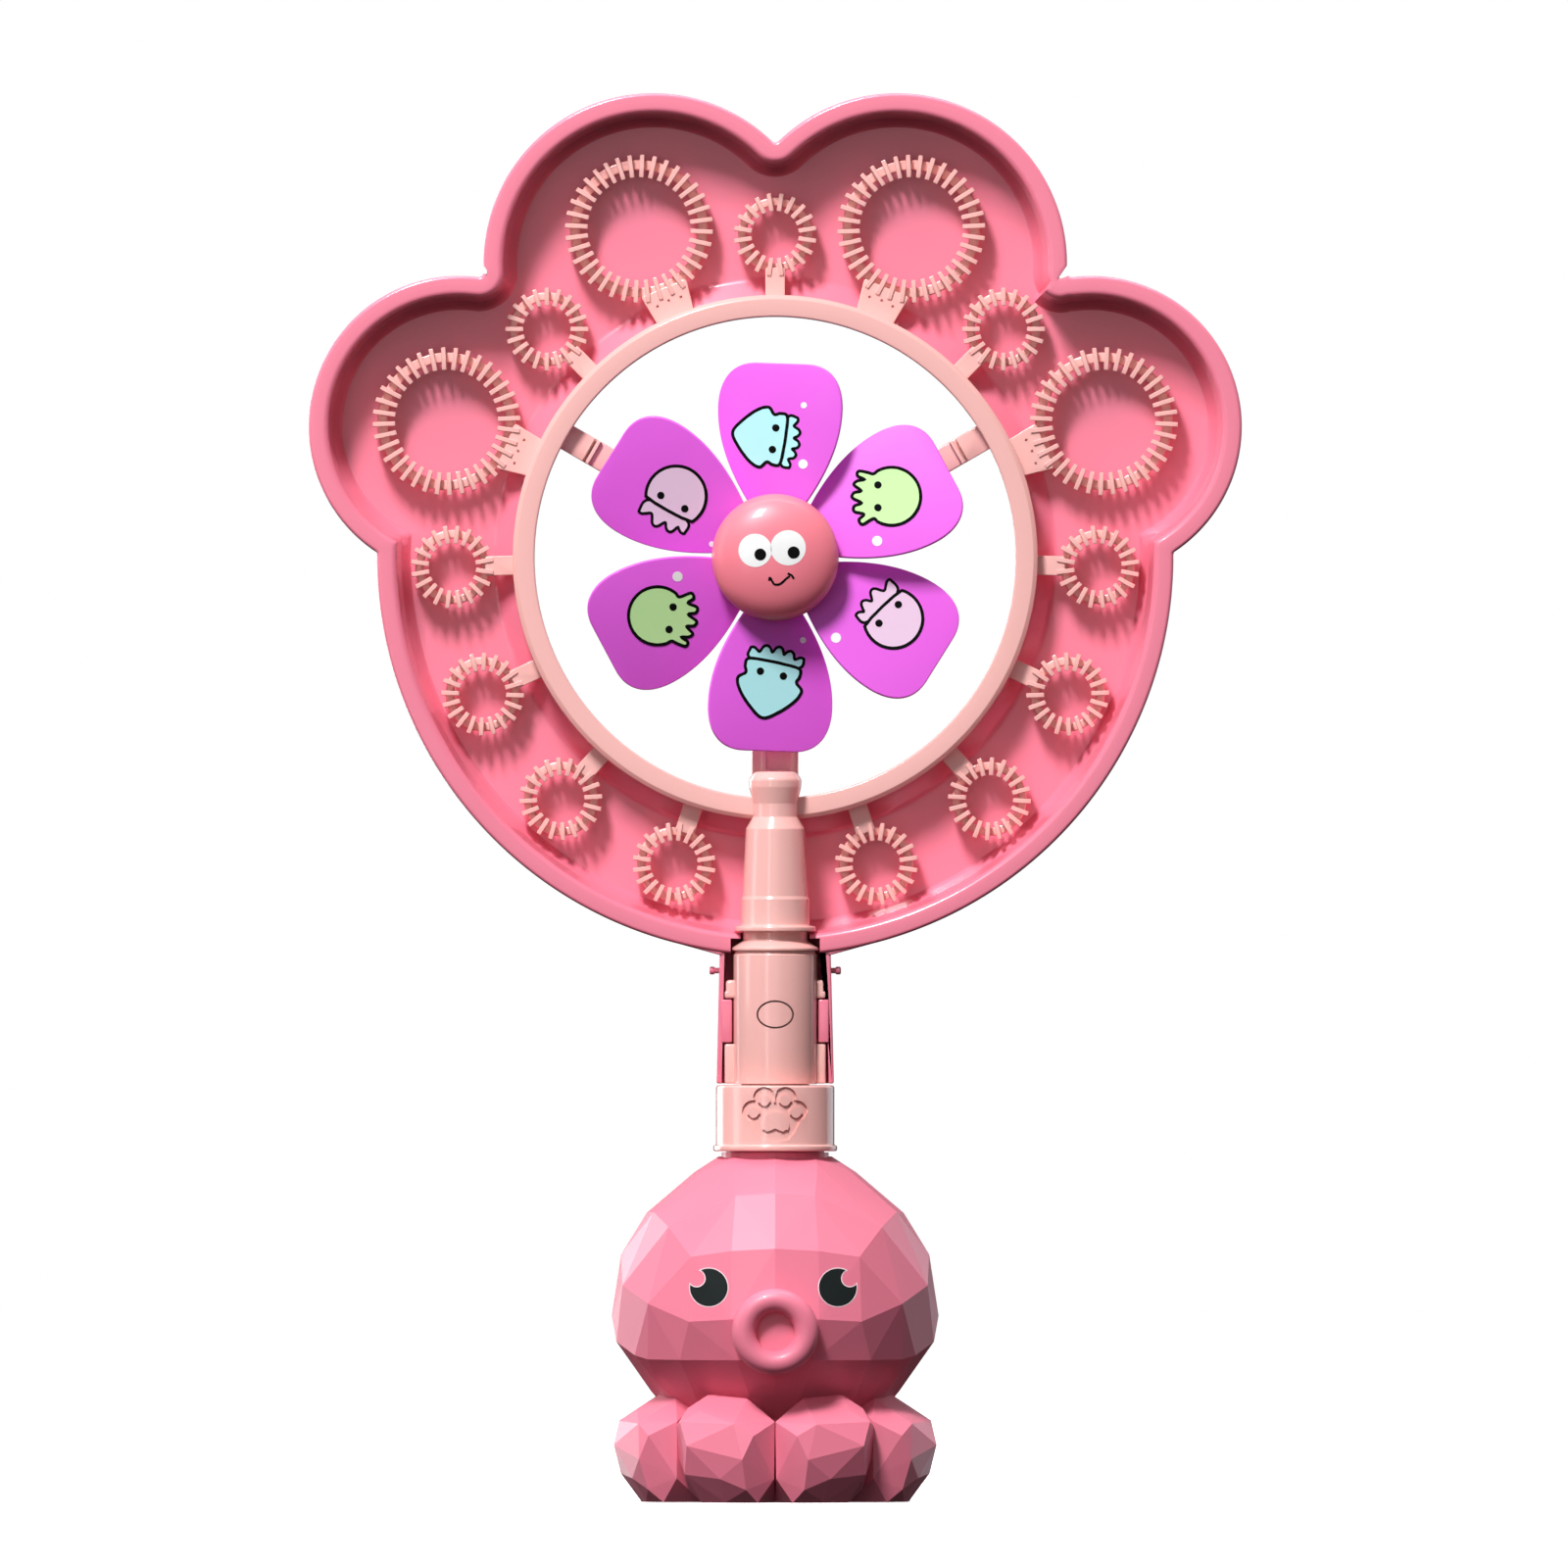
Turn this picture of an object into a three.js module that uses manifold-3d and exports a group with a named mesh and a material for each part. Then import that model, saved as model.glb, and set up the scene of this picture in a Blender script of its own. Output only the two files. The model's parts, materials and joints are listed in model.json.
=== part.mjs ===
// Hand-held bubble wand: a ring of fifteen bubble loops round a windmill, lying in a paw-shaped
// dipping tray, on a handle whose collar is the screw cap of an octopus-shaped solution bottle.
// Millimetres, +Z up, the front faces -Y, and the origin is the centre of the bottle's base.
import * as THREE from "three";
import { ConvexGeometry } from "three/addons/geometries/ConvexGeometry.js";
import { mergeVertices } from "three/addons/utils/BufferGeometryUtils.js";
import Module from "manifold-3d";

const wasm = await Module();
wasm.setup();

// ---- Driving dimensions ----

const GAP = 0.3; // clearance between pieces that touch on the real object
const WHEEL_Z = 240.8; // height of the centre of the windmill, the ring and the tray

// Tray: a round body with four toe lobes. A lobe is a circle of radius r, d from the centre, at an angle.
const BODY_R = 101.6;
const LOBES = [
  { angle: 22.5, d: 87.3, r: 38.4 },
  { angle: 67.5, d: 81.2, r: 43.4 },
  { angle: 112.5, d: 81.2, r: 43.4 },
  { angle: 157.5, d: 87.3, r: 38.4 },
];
const NOTCH_FILLET = 1.2;
const LIP_WIDTH = 5;
const TRAY_FRONT_Y = -2;
const FLOOR_Y = 14;
const TRAY_BACK_Y = 15.5;
const TRAY_HOLE_R = 63.5;
const TRAY_STEPS = 96;

// Tray handle: a channel behind the wand's handle.
const CHANNEL = { topZ: 143, bottomZ: 106.6, topHalf: 14.1, bottomHalf: 15, wall: 1.2 };
const CHANNEL_FLOOR_Y = 12.3;
const CHANNEL_BACK_Y = 13.9;
const GUSSET = { reach: 24.5, rootZ: 139.2, tipZ: 142.2, topZ: 143.6, frontY: -1.4, backY: -0.2 };
const STUD = { z: 135.4, neckR: 0.7, headR: 1, reach: 16.8 };
const DETENT = { bottomZ: 117, topZ: 128, tipX: 11 };

// Section of the wall that closes the top of the channel against the dish, as [depth, height].
const CLOSER = [
  [0.5, 140],
  [13.9, 140],
  [13.9, 147.4],
  [11, 146],
  [0.5, 143.4],
];

// Wand ring and its loops.
const RING = { inner: 61.4, outer: 67, frontY: 2, backY: 10, wall: 1 };
const LOOP_FRONT_Y = 6.4;
const LOOP_BACK_Y = 10.6;
const SMALL_LOOP = { reach: 82.4, tipOut: 10.6, bandOut: 9.6, bandIn: 6.9, tipIn: 6, ribs: 20, stem: [5, 5] };
const BIG_LOOP = {
  reach: 90.8,
  tipOut: 18.9,
  bandOut: 17.6,
  bandIn: 14.4,
  tipIn: 13.1,
  ribs: 36,
  stem: [10, 12.5], // width at the ring and at the loop
};
const TOP_LOOP_ANGLES = [45, 90, 135];
const SIDE_LOOP_FIRST = -1.7;
const SIDE_LOOP_STEP = -23.35;
const STEM = { frontY: 6.8, backY: 9.2 };
const STUB = { inner: 54.8, frontY: 6, backY: 8.2 };
const SPOKE_ANGLES = [30, 150]; // the two arms that hold the ring, with the stubs they meet
const TANG = { halfWidth: 3.5, frontY: 2, backY: 4.2, bottomZ: 150 };

// Handle: radii and heights of the outer surface and of the hollow.
const HANDLE_OUTER = [
  [10.65, 106.45],
  [10.65, 140.25],
  [11, 140.25],
  [11, 141.75],
  [8.4, 143.5],
  [8.4, 145.5],
  [10.4, 145.5],
  [10.4, 146.75],
  [8.75, 146.75],
  [7.5, 172.3],
  [5.65, 174.6],
  [5.65, 180.3],
  [6.7, 180.6],
  [6.7, 184.7],
  [5.3, 186.2],
  [0, 186.2],
];
const HANDLE_HOLLOW = [
  [0, 184.6],
  [4.2, 184.6],
  [4.2, 174.6],
  [5.8, 172.6],
  [6.9, 147],
  [6.9, 143],
  [9.05, 139.4],
  [9.05, 106.45],
];
const HANDLE_STEPS = 28;
const REAR_SHELL_TOP_Z = 172.9;
const FRONT_SHELL_BACK_Y = 1.6; // above the rear shell, the front shell stops in front of the ring
const RAIL = { reach: 12.6, halfDepth: 1.2, bottomZ: 106.6, topZ: 133 };
const UPPER_SCREW_Z = 158;
const LOWER_SCREW_Z = 111;
const UPPER_SEAT_Y = 7.2; // the head of the upper screw is sunk to here, that of the lower one to the next
const LOWER_SEAT_Y = 9.8;
const SCREW_BOSS_R = 2.6;
const SCREW = { shankR: 1.2, headR: 2.4, headDepth: 1.1 };

// Button in the handle, with a rod that reaches the back of the handle.
const BUTTON = { z: 124.25, halfWidth: 4.3, halfHeight: 3.15, flange: 1.1, rodR: 1.8, rodEndY: 10.3 };
const BUTTON_FACE_R = 10.6; // the face is curved about the handle's own axis
const SPRING = { r: 3, wireR: 0.4, turns: 5, frontY: -5, backY: 7.6 };

// Windmill.
const FAN_TURN = -2; // degrees the petals stand from upright at rest
const FAN_Y = -2; // depth of the plane the petals turn in
const PETALS = 6;
const PETAL_PITCH = 15;
const PETAL_THICK = 1.2;
const AXLE_R = 1.5;
const BOSS = { r: 9.2, frontY: -9.2, discY: 0.9, discR: 14, backY: 2.4 };
const HUB_CAP = { r: 16.2, backY: -5.3, skirtY: -7, frontY: -15.5, wall: 1.6 };
const SOCKET = { wall: 1.3, backY: -5.2, frontY: -13 }; // collar inside the hub cap that grips the boss

// Bracket that carries the axle.
const POST = { halfWidth: 3.7, upperHalf: 5.9, bottomZ: 150, frontY: -1.1, backY: 1.3 };
const POST_REAR = { frontY: 5.2, backY: 7.6, bottomZ: 181.9, stepZ: 184.3 };
const POST_EXIT = { halfWidth: 4.1, bottomZ: 181.3, topZ: 184.6 }; // where the post leaves the handle
const ARM = { width: 6.7, end: 54.2, frontY: 5.6, backY: 7.8 };
const ARM_RIDGE = { depth: 1.2, frontY: 4.4, backY: 9.8 };
const ARM_TONGUE = { reach: 5.2, frontY: 8.6 };
const BEARING = { r: 6.5, frontY: 3.8, backY: 9.2 };
const AXLE = { frontY: -11.2, backY: 10.6, headR: 3, headY: 9.3 };
const WASHER = { r: 4.2, frontY: 2.75, backY: 3.45 };
const CLIP = { r: 4, frontY: -10.4, backY: -9.6 };

// Bottle: the head is the hull of these corners, [across, forwards, height], mirrored to all four quarters.
const HEAD_CORNERS = [
  [0, 13.2, 88],
  [10, 9.5, 88],
  [14.4, 0, 88],
  [0, 16.8, 85.4],
  [10.7, 12.9, 86.1],
  [20.6, 0, 84],
  [19.2, 6, 84.2],
  [10.6, 18.3, 82.4],
  [0, 25.5, 78.7],
  [10.1, 24.3, 78.1],
  [31, 9.6, 73.9],
  [32.8, 0, 73.6],
  [27.2, 20.6, 70.1],
  [0, 35.3, 64.7],
  [11.1, 33.6, 64.1],
  [21.5, 30.3, 62.6],
  [39.3, 0, 63],
  [38.9, 12.4, 55.2],
  [32.4, 24.2, 50.6],
  [41.7, 0, 47.4],
  [0, 38.2, 46.8],
  [11.2, 36.9, 46.7],
  [22, 32.8, 46.1],
  [40.5, 6.6, 40.8],
  [35.8, 15, 37.4],
  [0, 35.6, 36.3],
  [9.8, 34.6, 36.3],
  [24.3, 28.4, 36.3],
  [32.5, 19.8, 36.4],
  [6.5, 27.2, 27],
  [18, 22.8, 27.4],
  [29.4, 13.8, 29.4],
  [31.6, 0, 28],
  [0, 21, 19],
  [17, 15, 19],
  [24, 0, 19],
];
const BOTTLE_WALL = 1.5;
const CORE_R = 25; // the round middle of the base, between the feet
const CORE_TOP_Z = 21.2;

// One foot is the hull of its corners: [towards the side of the bottle, outwards, height]. The feet on the
// right are mirror images of those on the left.
const FOOT_CORNERS = [
  [6.4, -1, 27.4],
  [-4.4, -1, 26.4],
  [1, -12, 27.6],
  [-5, 9.6, 20],
  [6, 5.4, 23.4],
  [10.4, 3, 24],
  [10, 8.7, 20.6],
  [13.6, 2.8, 19.3],
  [7.2, 11.4, 14.5],
  [13.2, 1.8, 11],
  [8.8, 8.8, 7.2],
  [9.6, 4.4, 3.4],
  [-1.3, 9.8, 6.1],
  [-7.8, 10.6, 11],
  [-10.2, 9, 17],
  [-13.4, 2.4, 20.6],
  [-13.2, 2.4, 6.1],
  [-7.9, 8.2, 3.3],
  [-1.1, 5.8, 0],
  [6, 4.2, 0],
  [-9.6, 4.6, 0],
  [-10, -6, 0],
  [9, -6, 0],
  [0, -10, 24],
];
const FEET = { count: 8, reach: 30.2, widest: 13, middleZ: 12 };
const NECK = { r: 12.5, boreR: 10.8, topZ: 102.9, beadR: 13.65, beadZ: 87.6, beadTopZ: 89 };
const THREAD = { pitch: 3.175, wireR: 0.85, turns: 1.5, neckR: 12.75, capR: 13.95, neckZ: 92.6 };
const MOUTH = { z: 43.5, majorR: 7.95, tubeR: 3.1, y: -39.6, discR: 5.4 };
const CAP = { r: 15.1, innerR: 13.95, flangeR: 15.8, bottomZ: 89.35, flangeZ: 90.8, topZ: 106.15 };
const CEILING_Z = 104.6;
const SPIGOT = { r: 8.6, innerR: 7.1, topZ: 115.5 };

const rad = THREE.MathUtils.degToRad;

// ---- Materials ----

const plastic = (color, roughness) => new THREE.MeshStandardMaterial({ color, roughness, metalness: 0 });
const PINK = plastic(0xff86a0, 0.45);
const PEACH = plastic(0xffc4be, 0.4);
const MAGENTA = plastic(0xf268ec, 0.5);
const CORAL = plastic(0xf07a8c, 0.35);
const FOAM = plastic(0xf4f1ea, 0.9);
const STEEL = new THREE.MeshStandardMaterial({ color: 0xb8bcc0, roughness: 0.3, metalness: 1 });

// ---- Solids ----

/** A closed three.js geometry as a solid whose faces point out. */
function solid(geometry) {
  const loose = geometry.index ? geometry.toNonIndexed() : geometry;
  const bare = new THREE.BufferGeometry().setAttribute("position", loose.getAttribute("position").clone());
  const merged = mergeVertices(bare, 1e-4);
  const index = merged.index.array;
  const kept = [];
  for (let i = 0; i < index.length; i += 3) {
    const [a, b, c] = [index[i], index[i + 1], index[i + 2]];
    if (a !== b && b !== c && a !== c) kept.push([a, b, c]);
  }
  const build = (triangles) =>
    new wasm.Manifold(
      new wasm.Mesh({
        numProp: 3,
        vertProperties: merged.attributes.position.array,
        triVerts: new Uint32Array(triangles.flat()),
      }),
    );
  const made = build(kept);
  return made.volume() > 0 ? made : build(kept.map(([a, b, c]) => [a, c, b]));
}

/** The named mesh of a solid. */
function mesh(name, made, material) {
  const data = made.getMesh();
  const geometry = new THREE.BufferGeometry()
    .setAttribute("position", new THREE.BufferAttribute(data.vertProperties, 3))
    .setIndex(new THREE.BufferAttribute(data.triVerts, 1))
    .toNonIndexed();
  geometry.computeVertexNormals();
  const named = new THREE.Mesh(geometry, material);
  named.name = name;
  return named;
}

const joined = (solids) => solids.reduce((all, next) => all.add(next));

/** A profile of [radius, height] points turned about the Z axis. */
function revolveZ(profile, steps) {
  const points = profile.map(([r, z]) => new THREE.Vector2(r, z));
  return solid(new THREE.LatheGeometry(points, steps).rotateX(Math.PI / 2));
}

/** A profile of [radius, depth] points turned about the windmill's axis, which runs along Y. */
function revolveWheel(profile, steps) {
  const points = profile.map(([r, y]) => new THREE.Vector2(r, y));
  return solid(new THREE.LatheGeometry(points, steps).translate(0, 0, WHEEL_Z));
}

const closed = (profile) => [...profile, profile[0]];

/** A flat outline in X and Z, from frontY back to backY. */
function plate(shape, frontY, backY, curveSegments = 12) {
  const options = { depth: backY - frontY, bevelEnabled: false, curveSegments };
  return solid(new THREE.ExtrudeGeometry(shape, options).rotateX(Math.PI / 2).translate(0, backY, 0));
}

const polygon = (points) => new THREE.Shape(points.map(([x, z]) => new THREE.Vector2(x, z)));

function box(x0, x1, y0, y1, z0, z1) {
  const geometry = new THREE.BoxGeometry(x1 - x0, y1 - y0, z1 - z0);
  return solid(geometry.translate((x0 + x1) / 2, (y0 + y1) / 2, (z0 + z1) / 2));
}

/** A round rod along Y. */
function rodY(r, y0, y1, z, steps = 20) {
  return solid(new THREE.CylinderGeometry(r, r, y1 - y0, steps).translate(0, (y0 + y1) / 2, z));
}

/** A round rod along X. */
function rodX(r, x0, x1, y, z, steps = 12) {
  const geometry = new THREE.CylinderGeometry(r, r, x1 - x0, steps).rotateZ(Math.PI / 2);
  return solid(geometry.translate((x0 + x1) / 2, y, z));
}

/** A bar that runs outwards from the windmill's axis, at an angle counted from +X towards +Z. */
function spoke(angle, r0, r1, width0, width1, frontY, backY) {
  const outline = polygon([
    [r0, -width0 / 2],
    [r1, -width1 / 2],
    [r1, width1 / 2],
    [r0, width0 / 2],
  ]);
  return aroundWheel(plate(outline, frontY, backY), angle);
}

/** Turns a solid drawn along +X about the origin, and moves it onto the windmill's axis. */
const aroundWheel = (made, angle) => made.rotate([0, -angle, 0]).translate([0, 0, WHEEL_Z]);

class Helix extends THREE.Curve {
  constructor(r, rise, turns) {
    super();
    Object.assign(this, { r, rise, turns });
  }
  getPoint(t, target = new THREE.Vector3()) {
    const angle = 2 * Math.PI * this.turns * t;
    return target.set(this.r * Math.cos(angle), this.r * Math.sin(angle), this.rise * t);
  }
}

/** A round wire wound round the Z axis from the height z. */
function coil(r, wireR, rise, turns, z, stepsPerTurn, sides) {
  const corners = Array.from({ length: sides }, (_, i) => {
    const a = (2 * Math.PI * i) / sides;
    return [wireR * Math.cos(a), wireR * Math.sin(a)];
  });
  const extrudePath = new Helix(r, rise, turns);
  const options = { steps: Math.round(stepsPerTurn * turns), bevelEnabled: false, extrudePath };
  return solid(new THREE.ExtrudeGeometry(polygon(corners), options)).translate([0, 0, z]);
}

// ---- Tray ----

/** The lobes and the body as circles, round the paw from the right, with the notches between neighbours. */
function pawCircles(grow) {
  const circles = LOBES.map(({ angle, d, r }) => ({
    x: d * Math.cos(rad(angle)),
    z: d * Math.sin(rad(angle)),
    r: r + grow,
  }));
  const body = { x: 0, z: 0, r: BODY_R + grow };
  const order = [body, ...circles, body];
  const notches = order.slice(1).map((circle, i) => ({ a: order[i], b: circle, ...notch(order[i], circle) }));
  return { circles: [body, ...circles], notches };
}

/** The outer crossing of two circles. */
function notch(a, b) {
  const [dx, dz] = [b.x - a.x, b.z - a.z];
  const span = Math.hypot(dx, dz);
  const along = (span * span + a.r * a.r - b.r * b.r) / (2 * span);
  const across = Math.sqrt(a.r * a.r - along * along);
  const crossings = [1, -1].map((side) => ({
    x: a.x + (along * dx - side * across * dz) / span,
    z: a.z + (along * dz + side * across * dx) / span,
  }));
  return crossings.sort((p, q) => Math.hypot(q.x, q.z) - Math.hypot(p.x, p.z))[0];
}

const PAW = pawCircles(NOTCH_FILLET);

/** Distance from the paw's centre to its outline moved inwards by inset, at an angle in radians. */
function pawRadius(angle, inset) {
  const move = inset + NOTCH_FILLET;
  const [ux, uz] = [Math.cos(angle), Math.sin(angle)];
  for (const { a, b, x, z } of PAW.notches) {
    const ends = [a, b].map((circle) => {
      const reach = Math.hypot(circle.x - x, circle.z - z);
      return Math.atan2(z + ((circle.z - z) * move) / reach, x + ((circle.x - x) * move) / reach);
    });
    const [low, high] = ends.sort((p, q) => p - q);
    const turned = high - low > Math.PI ? angle : angle > Math.PI ? angle - 2 * Math.PI : angle;
    const across = x * uz - z * ux;
    if (turned > low && turned < high && Math.abs(across) < move)
      return x * ux + z * uz - Math.sqrt(move * move - across * across);
  }
  const reaches = PAW.circles.map((circle) => {
    const along = circle.x * ux + circle.z * uz;
    const across = circle.x * uz - circle.z * ux;
    const left = (circle.r - move) ** 2 - across * across;
    return left > 0 ? along + Math.sqrt(left) : 0;
  });
  return Math.max(...reaches);
}

/** The dish: a lathe profile whose outer points follow the paw's outline and whose inner ones stay round. */
function trayDish() {
  const rim = (inset, y) => [BODY_R - inset, y];
  const profile = closed([
    rim(0, TRAY_FRONT_Y),
    rim(LIP_WIDTH, TRAY_FRONT_Y),
    rim(6.6, 11.2),
    rim(9.4, FLOOR_Y),
    [70.6, FLOOR_Y],
    [66.6, 10.9],
    [65.2, 10.9],
    [65.2, 5],
    [TRAY_HOLE_R, 5],
    [TRAY_HOLE_R, TRAY_BACK_Y],
    rim(8.8, TRAY_BACK_Y),
    rim(5, 12),
    rim(3.7, 0),
    rim(0, 0),
  ]);
  const points = profile.map(([r, y]) => new THREE.Vector2(r, y));
  const geometry = new THREE.LatheGeometry(points, TRAY_STEPS);
  const position = geometry.getAttribute("position");
  for (let i = 0; i < position.count; i++) {
    const [x, z] = [position.getX(i), position.getZ(i)];
    const r = Math.hypot(x, z);
    if (r < 80) continue;
    const angle = (Math.atan2(z, x) + 2 * Math.PI) % (2 * Math.PI);
    const scale = pawRadius(angle, BODY_R - r) / r;
    position.setX(i, x * scale);
    position.setZ(i, z * scale);
  }
  return solid(geometry.translate(0, 0, WHEEL_Z));
}

/** The space the handle passes through as the wand lifts forwards out of the tray. */
function handlePassage() {
  const bands = [
    [104, 143.6, 11.4],
    [143.5, 145.2, 8.8],
    [145.1, 147.2, 10.8],
    [147.1, 174, 9],
  ];
  return joined(
    bands.map(([z0, z1, r]) =>
      revolveZ(
        [
          [0, z0],
          [r, z0],
          [r, z1],
          [0, z1],
        ],
        HANDLE_STEPS,
      ).add(box(-r, r, TRAY_FRONT_Y - 5, 0, z0, z1)),
    ),
  );
}

function channelBlock(inset, frontY, backY, bottomZ, topZ) {
  const outline = polygon([
    [-CHANNEL.bottomHalf + inset, bottomZ],
    [CHANNEL.bottomHalf - inset, bottomZ],
    [CHANNEL.topHalf - inset, topZ],
    [-CHANNEL.topHalf + inset, topZ],
  ]);
  return plate(outline, frontY, backY);
}

function makeTray() {
  const { bottomZ, topZ, wall } = CHANNEL;
  const wallTopZ = WHEEL_Z - BODY_R + LIP_WIDTH - 2.4;
  const channel = channelBlock(0, TRAY_FRONT_Y + 1, CHANNEL_BACK_Y, bottomZ, topZ).subtract(
    channelBlock(wall, TRAY_FRONT_Y - 1, CHANNEL_FLOOR_Y, bottomZ - 5, wallTopZ),
  );
  const closer = plate(polygon(CLOSER), -CHANNEL.topHalf, CHANNEL.topHalf).rotate([0, 0, 90]);
  const gussets = [-1, 1].map((side) => {
    const corners = [
      [13.5, GUSSET.rootZ],
      [GUSSET.reach, GUSSET.tipZ],
      [GUSSET.reach, GUSSET.topZ],
      [13.5, GUSSET.topZ],
    ];
    return plate(polygon(corners.map(([x, z]) => [side * x, z])), GUSSET.frontY, GUSSET.backY);
  });
  const studs = [-1, 1].map((side) => {
    const root = side * (CHANNEL.topHalf - 0.5);
    const tip = side * STUD.reach;
    const stem = rodX(STUD.neckR, Math.min(root, tip), Math.max(root, tip), 3, STUD.z, 10);
    const [x0, x1] = [tip - 0.8, tip].sort((p, q) => p - q);
    return stem.add(rodX(STUD.headR, x0, x1, 3, STUD.z, 10));
  });
  const detents = [-1, 1].map((side) => {
    const [x0, x1] = [side * DETENT.tipX, side * (CHANNEL.topHalf - 0.4)].sort((p, q) => p - q);
    return box(x0, x1, -1.4, 3, DETENT.bottomZ, DETENT.topZ);
  });
  const body = joined([trayDish(), channel, closer, ...gussets]).subtract(handlePassage());
  return joined([body, ...studs, ...detents]);
}

// ---- Wand ----

/** A serrated band: its points stand out by one rib each, on the outside and on the inside. */
function serratedLoop({ tipOut, bandOut, bandIn, tipIn, ribs }) {
  const ring = (tip, root) =>
    Array.from({ length: 2 * ribs }, (_, i) => {
      const a = (Math.PI * i) / ribs;
      const r = i % 2 ? root : tip;
      return new THREE.Vector2(r * Math.cos(a), r * Math.sin(a));
    });
  const shape = new THREE.Shape(ring(tipOut, bandOut));
  shape.holes.push(new THREE.Path(ring(tipIn, bandIn)));
  return plate(shape, LOOP_FRONT_Y, LOOP_BACK_Y);
}

/** A loop with its stem, at an angle round the ring. */
function loopOnStem(loop, angle) {
  const end = loop.reach - (loop.bandOut + loop.bandIn) / 2;
  const stem = spoke(angle, RING.outer - 0.5, end, ...loop.stem, STEM.frontY, STEM.backY);
  return aroundWheel(serratedLoop(loop).translate([loop.reach, 0, 0]), angle).add(stem);
}

function makeBubbleRing() {
  const { inner, outer, frontY, backY, wall } = RING;
  const section = closed([
    [inner, frontY],
    [outer - 0.8, frontY],
    [outer, frontY + 0.8],
    [outer, backY],
    [outer - wall, backY],
    [outer - wall, frontY + 1.6],
    [inner + wall, frontY + 1.6],
    [inner + wall, backY],
    [inner, backY],
  ]);
  const sideAngles = [0, 1, 2, 3].flatMap((i) => {
    const angle = SIDE_LOOP_FIRST + i * SIDE_LOOP_STEP;
    return [angle, 180 - angle];
  });
  const small = [...TOP_LOOP_ANGLES, ...sideAngles].map((angle) => loopOnStem(SMALL_LOOP, angle));
  const big = LOBES.map(({ angle }) => loopOnStem(BIG_LOOP, angle));
  const stubs = SPOKE_ANGLES.map((angle) =>
    spoke(angle, STUB.inner, inner + wall / 2, ARM.width, ARM.width, STUB.frontY, STUB.backY),
  );
  const tangTopZ = WHEEL_Z - outer + 1;
  const tang = box(-TANG.halfWidth, TANG.halfWidth, TANG.frontY, TANG.backY, TANG.bottomZ, tangTopZ);
  const screwHole = rodY(SCREW.shankR + GAP, 0, 8, UPPER_SCREW_Z, 12);
  return joined([revolveWheel(section, 64), ...small, ...big, ...stubs, tang]).subtract(screwHole);
}

function makeFanBracket() {
  const side = polygon([
    [POST.frontY, POST.bottomZ],
    [POST.backY, POST.bottomZ],
    [POST.backY, POST_REAR.bottomZ],
    [POST_REAR.backY, POST_REAR.bottomZ],
    [POST_REAR.backY, POST_REAR.stepZ + 4],
    [POST_REAR.frontY, POST_REAR.stepZ + 4],
    [POST_REAR.frontY, POST_REAR.stepZ],
    [POST.frontY, POST_REAR.stepZ],
  ]);
  const lower = plate(side, -POST.halfWidth, POST.halfWidth).rotate([0, 0, 90]);
  const { frontY, backY, bottomZ } = POST_REAR;
  const upper = box(-POST.upperHalf, POST.upperHalf, frontY, backY, bottomZ, WHEEL_Z);
  const bearing = rodY(BEARING.r, BEARING.frontY, BEARING.backY, WHEEL_Z, 24);
  const { width, end } = ARM;
  const ridgeStart = end - ARM_RIDGE.depth;
  const arms = SPOKE_ANGLES.map((angle) =>
    joined([
      spoke(angle, 4, end, width, width, ARM.frontY, ARM.backY),
      spoke(angle, ridgeStart, end, width, width, ARM_RIDGE.frontY, ARM_RIDGE.backY),
      spoke(angle, ridgeStart, end + ARM_TONGUE.reach, width, width, ARM_TONGUE.frontY, ARM_RIDGE.backY),
    ]),
  );
  const axleHole = rodY(AXLE_R + GAP, 0, 12, WHEEL_Z, 16);
  const screwHole = rodY(SCREW.shankR + GAP, -3, 3, UPPER_SCREW_Z, 12);
  return joined([lower, upper, bearing, ...arms]).subtract(axleHole).subtract(screwHole);
}

/** Both halves of the handle as one hollow tube, with the rails down its sides. */
function handleTube() {
  const tube = revolveZ([...HANDLE_HOLLOW, ...HANDLE_OUTER], HANDLE_STEPS);
  const rails = [-1, 1].flatMap((side) =>
    [
      [RAIL.bottomZ, DETENT.bottomZ - GAP],
      [DETENT.topZ + GAP, RAIL.topZ],
    ].map(([z0, z1]) => {
      const [x0, x1] = [side * 10, side * RAIL.reach].sort((p, q) => p - q);
      return box(x0, x1, -RAIL.halfDepth, RAIL.halfDepth, z0, z1);
    }),
  );
  return joined([tube, ...rails]);
}

function ellipse(halfWidth, halfHeight) {
  return new THREE.Shape().absellipse(0, 0, halfWidth, halfHeight, 0, 2 * Math.PI);
}

function makeFrontShell() {
  const keep = box(-20, 20, -20, -GAP / 2, 100, 173.5).add(box(-20, 20, -20, FRONT_SHELL_BACK_Y, 173.3, 190));
  const outline = ellipse(BUTTON.halfWidth + GAP, BUTTON.halfHeight + GAP);
  const hole = plate(outline, -12, -5, 8).translate([0, 0, BUTTON.z]);
  const { halfWidth, bottomZ, topZ } = POST_EXIT;
  const postExit = box(-halfWidth, halfWidth, 0, 9, bottomZ, topZ);
  const upperBoss = rodY(SCREW_BOSS_R, -6.9, POST.frontY - GAP, UPPER_SCREW_Z, 12);
  const pilot = rodY(SCREW.shankR + 0.1, -5.4, 0, UPPER_SCREW_Z, 12);
  return handleTube().intersect(keep).add(upperBoss).subtract(pilot).subtract(hole).subtract(postExit);
}

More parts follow.
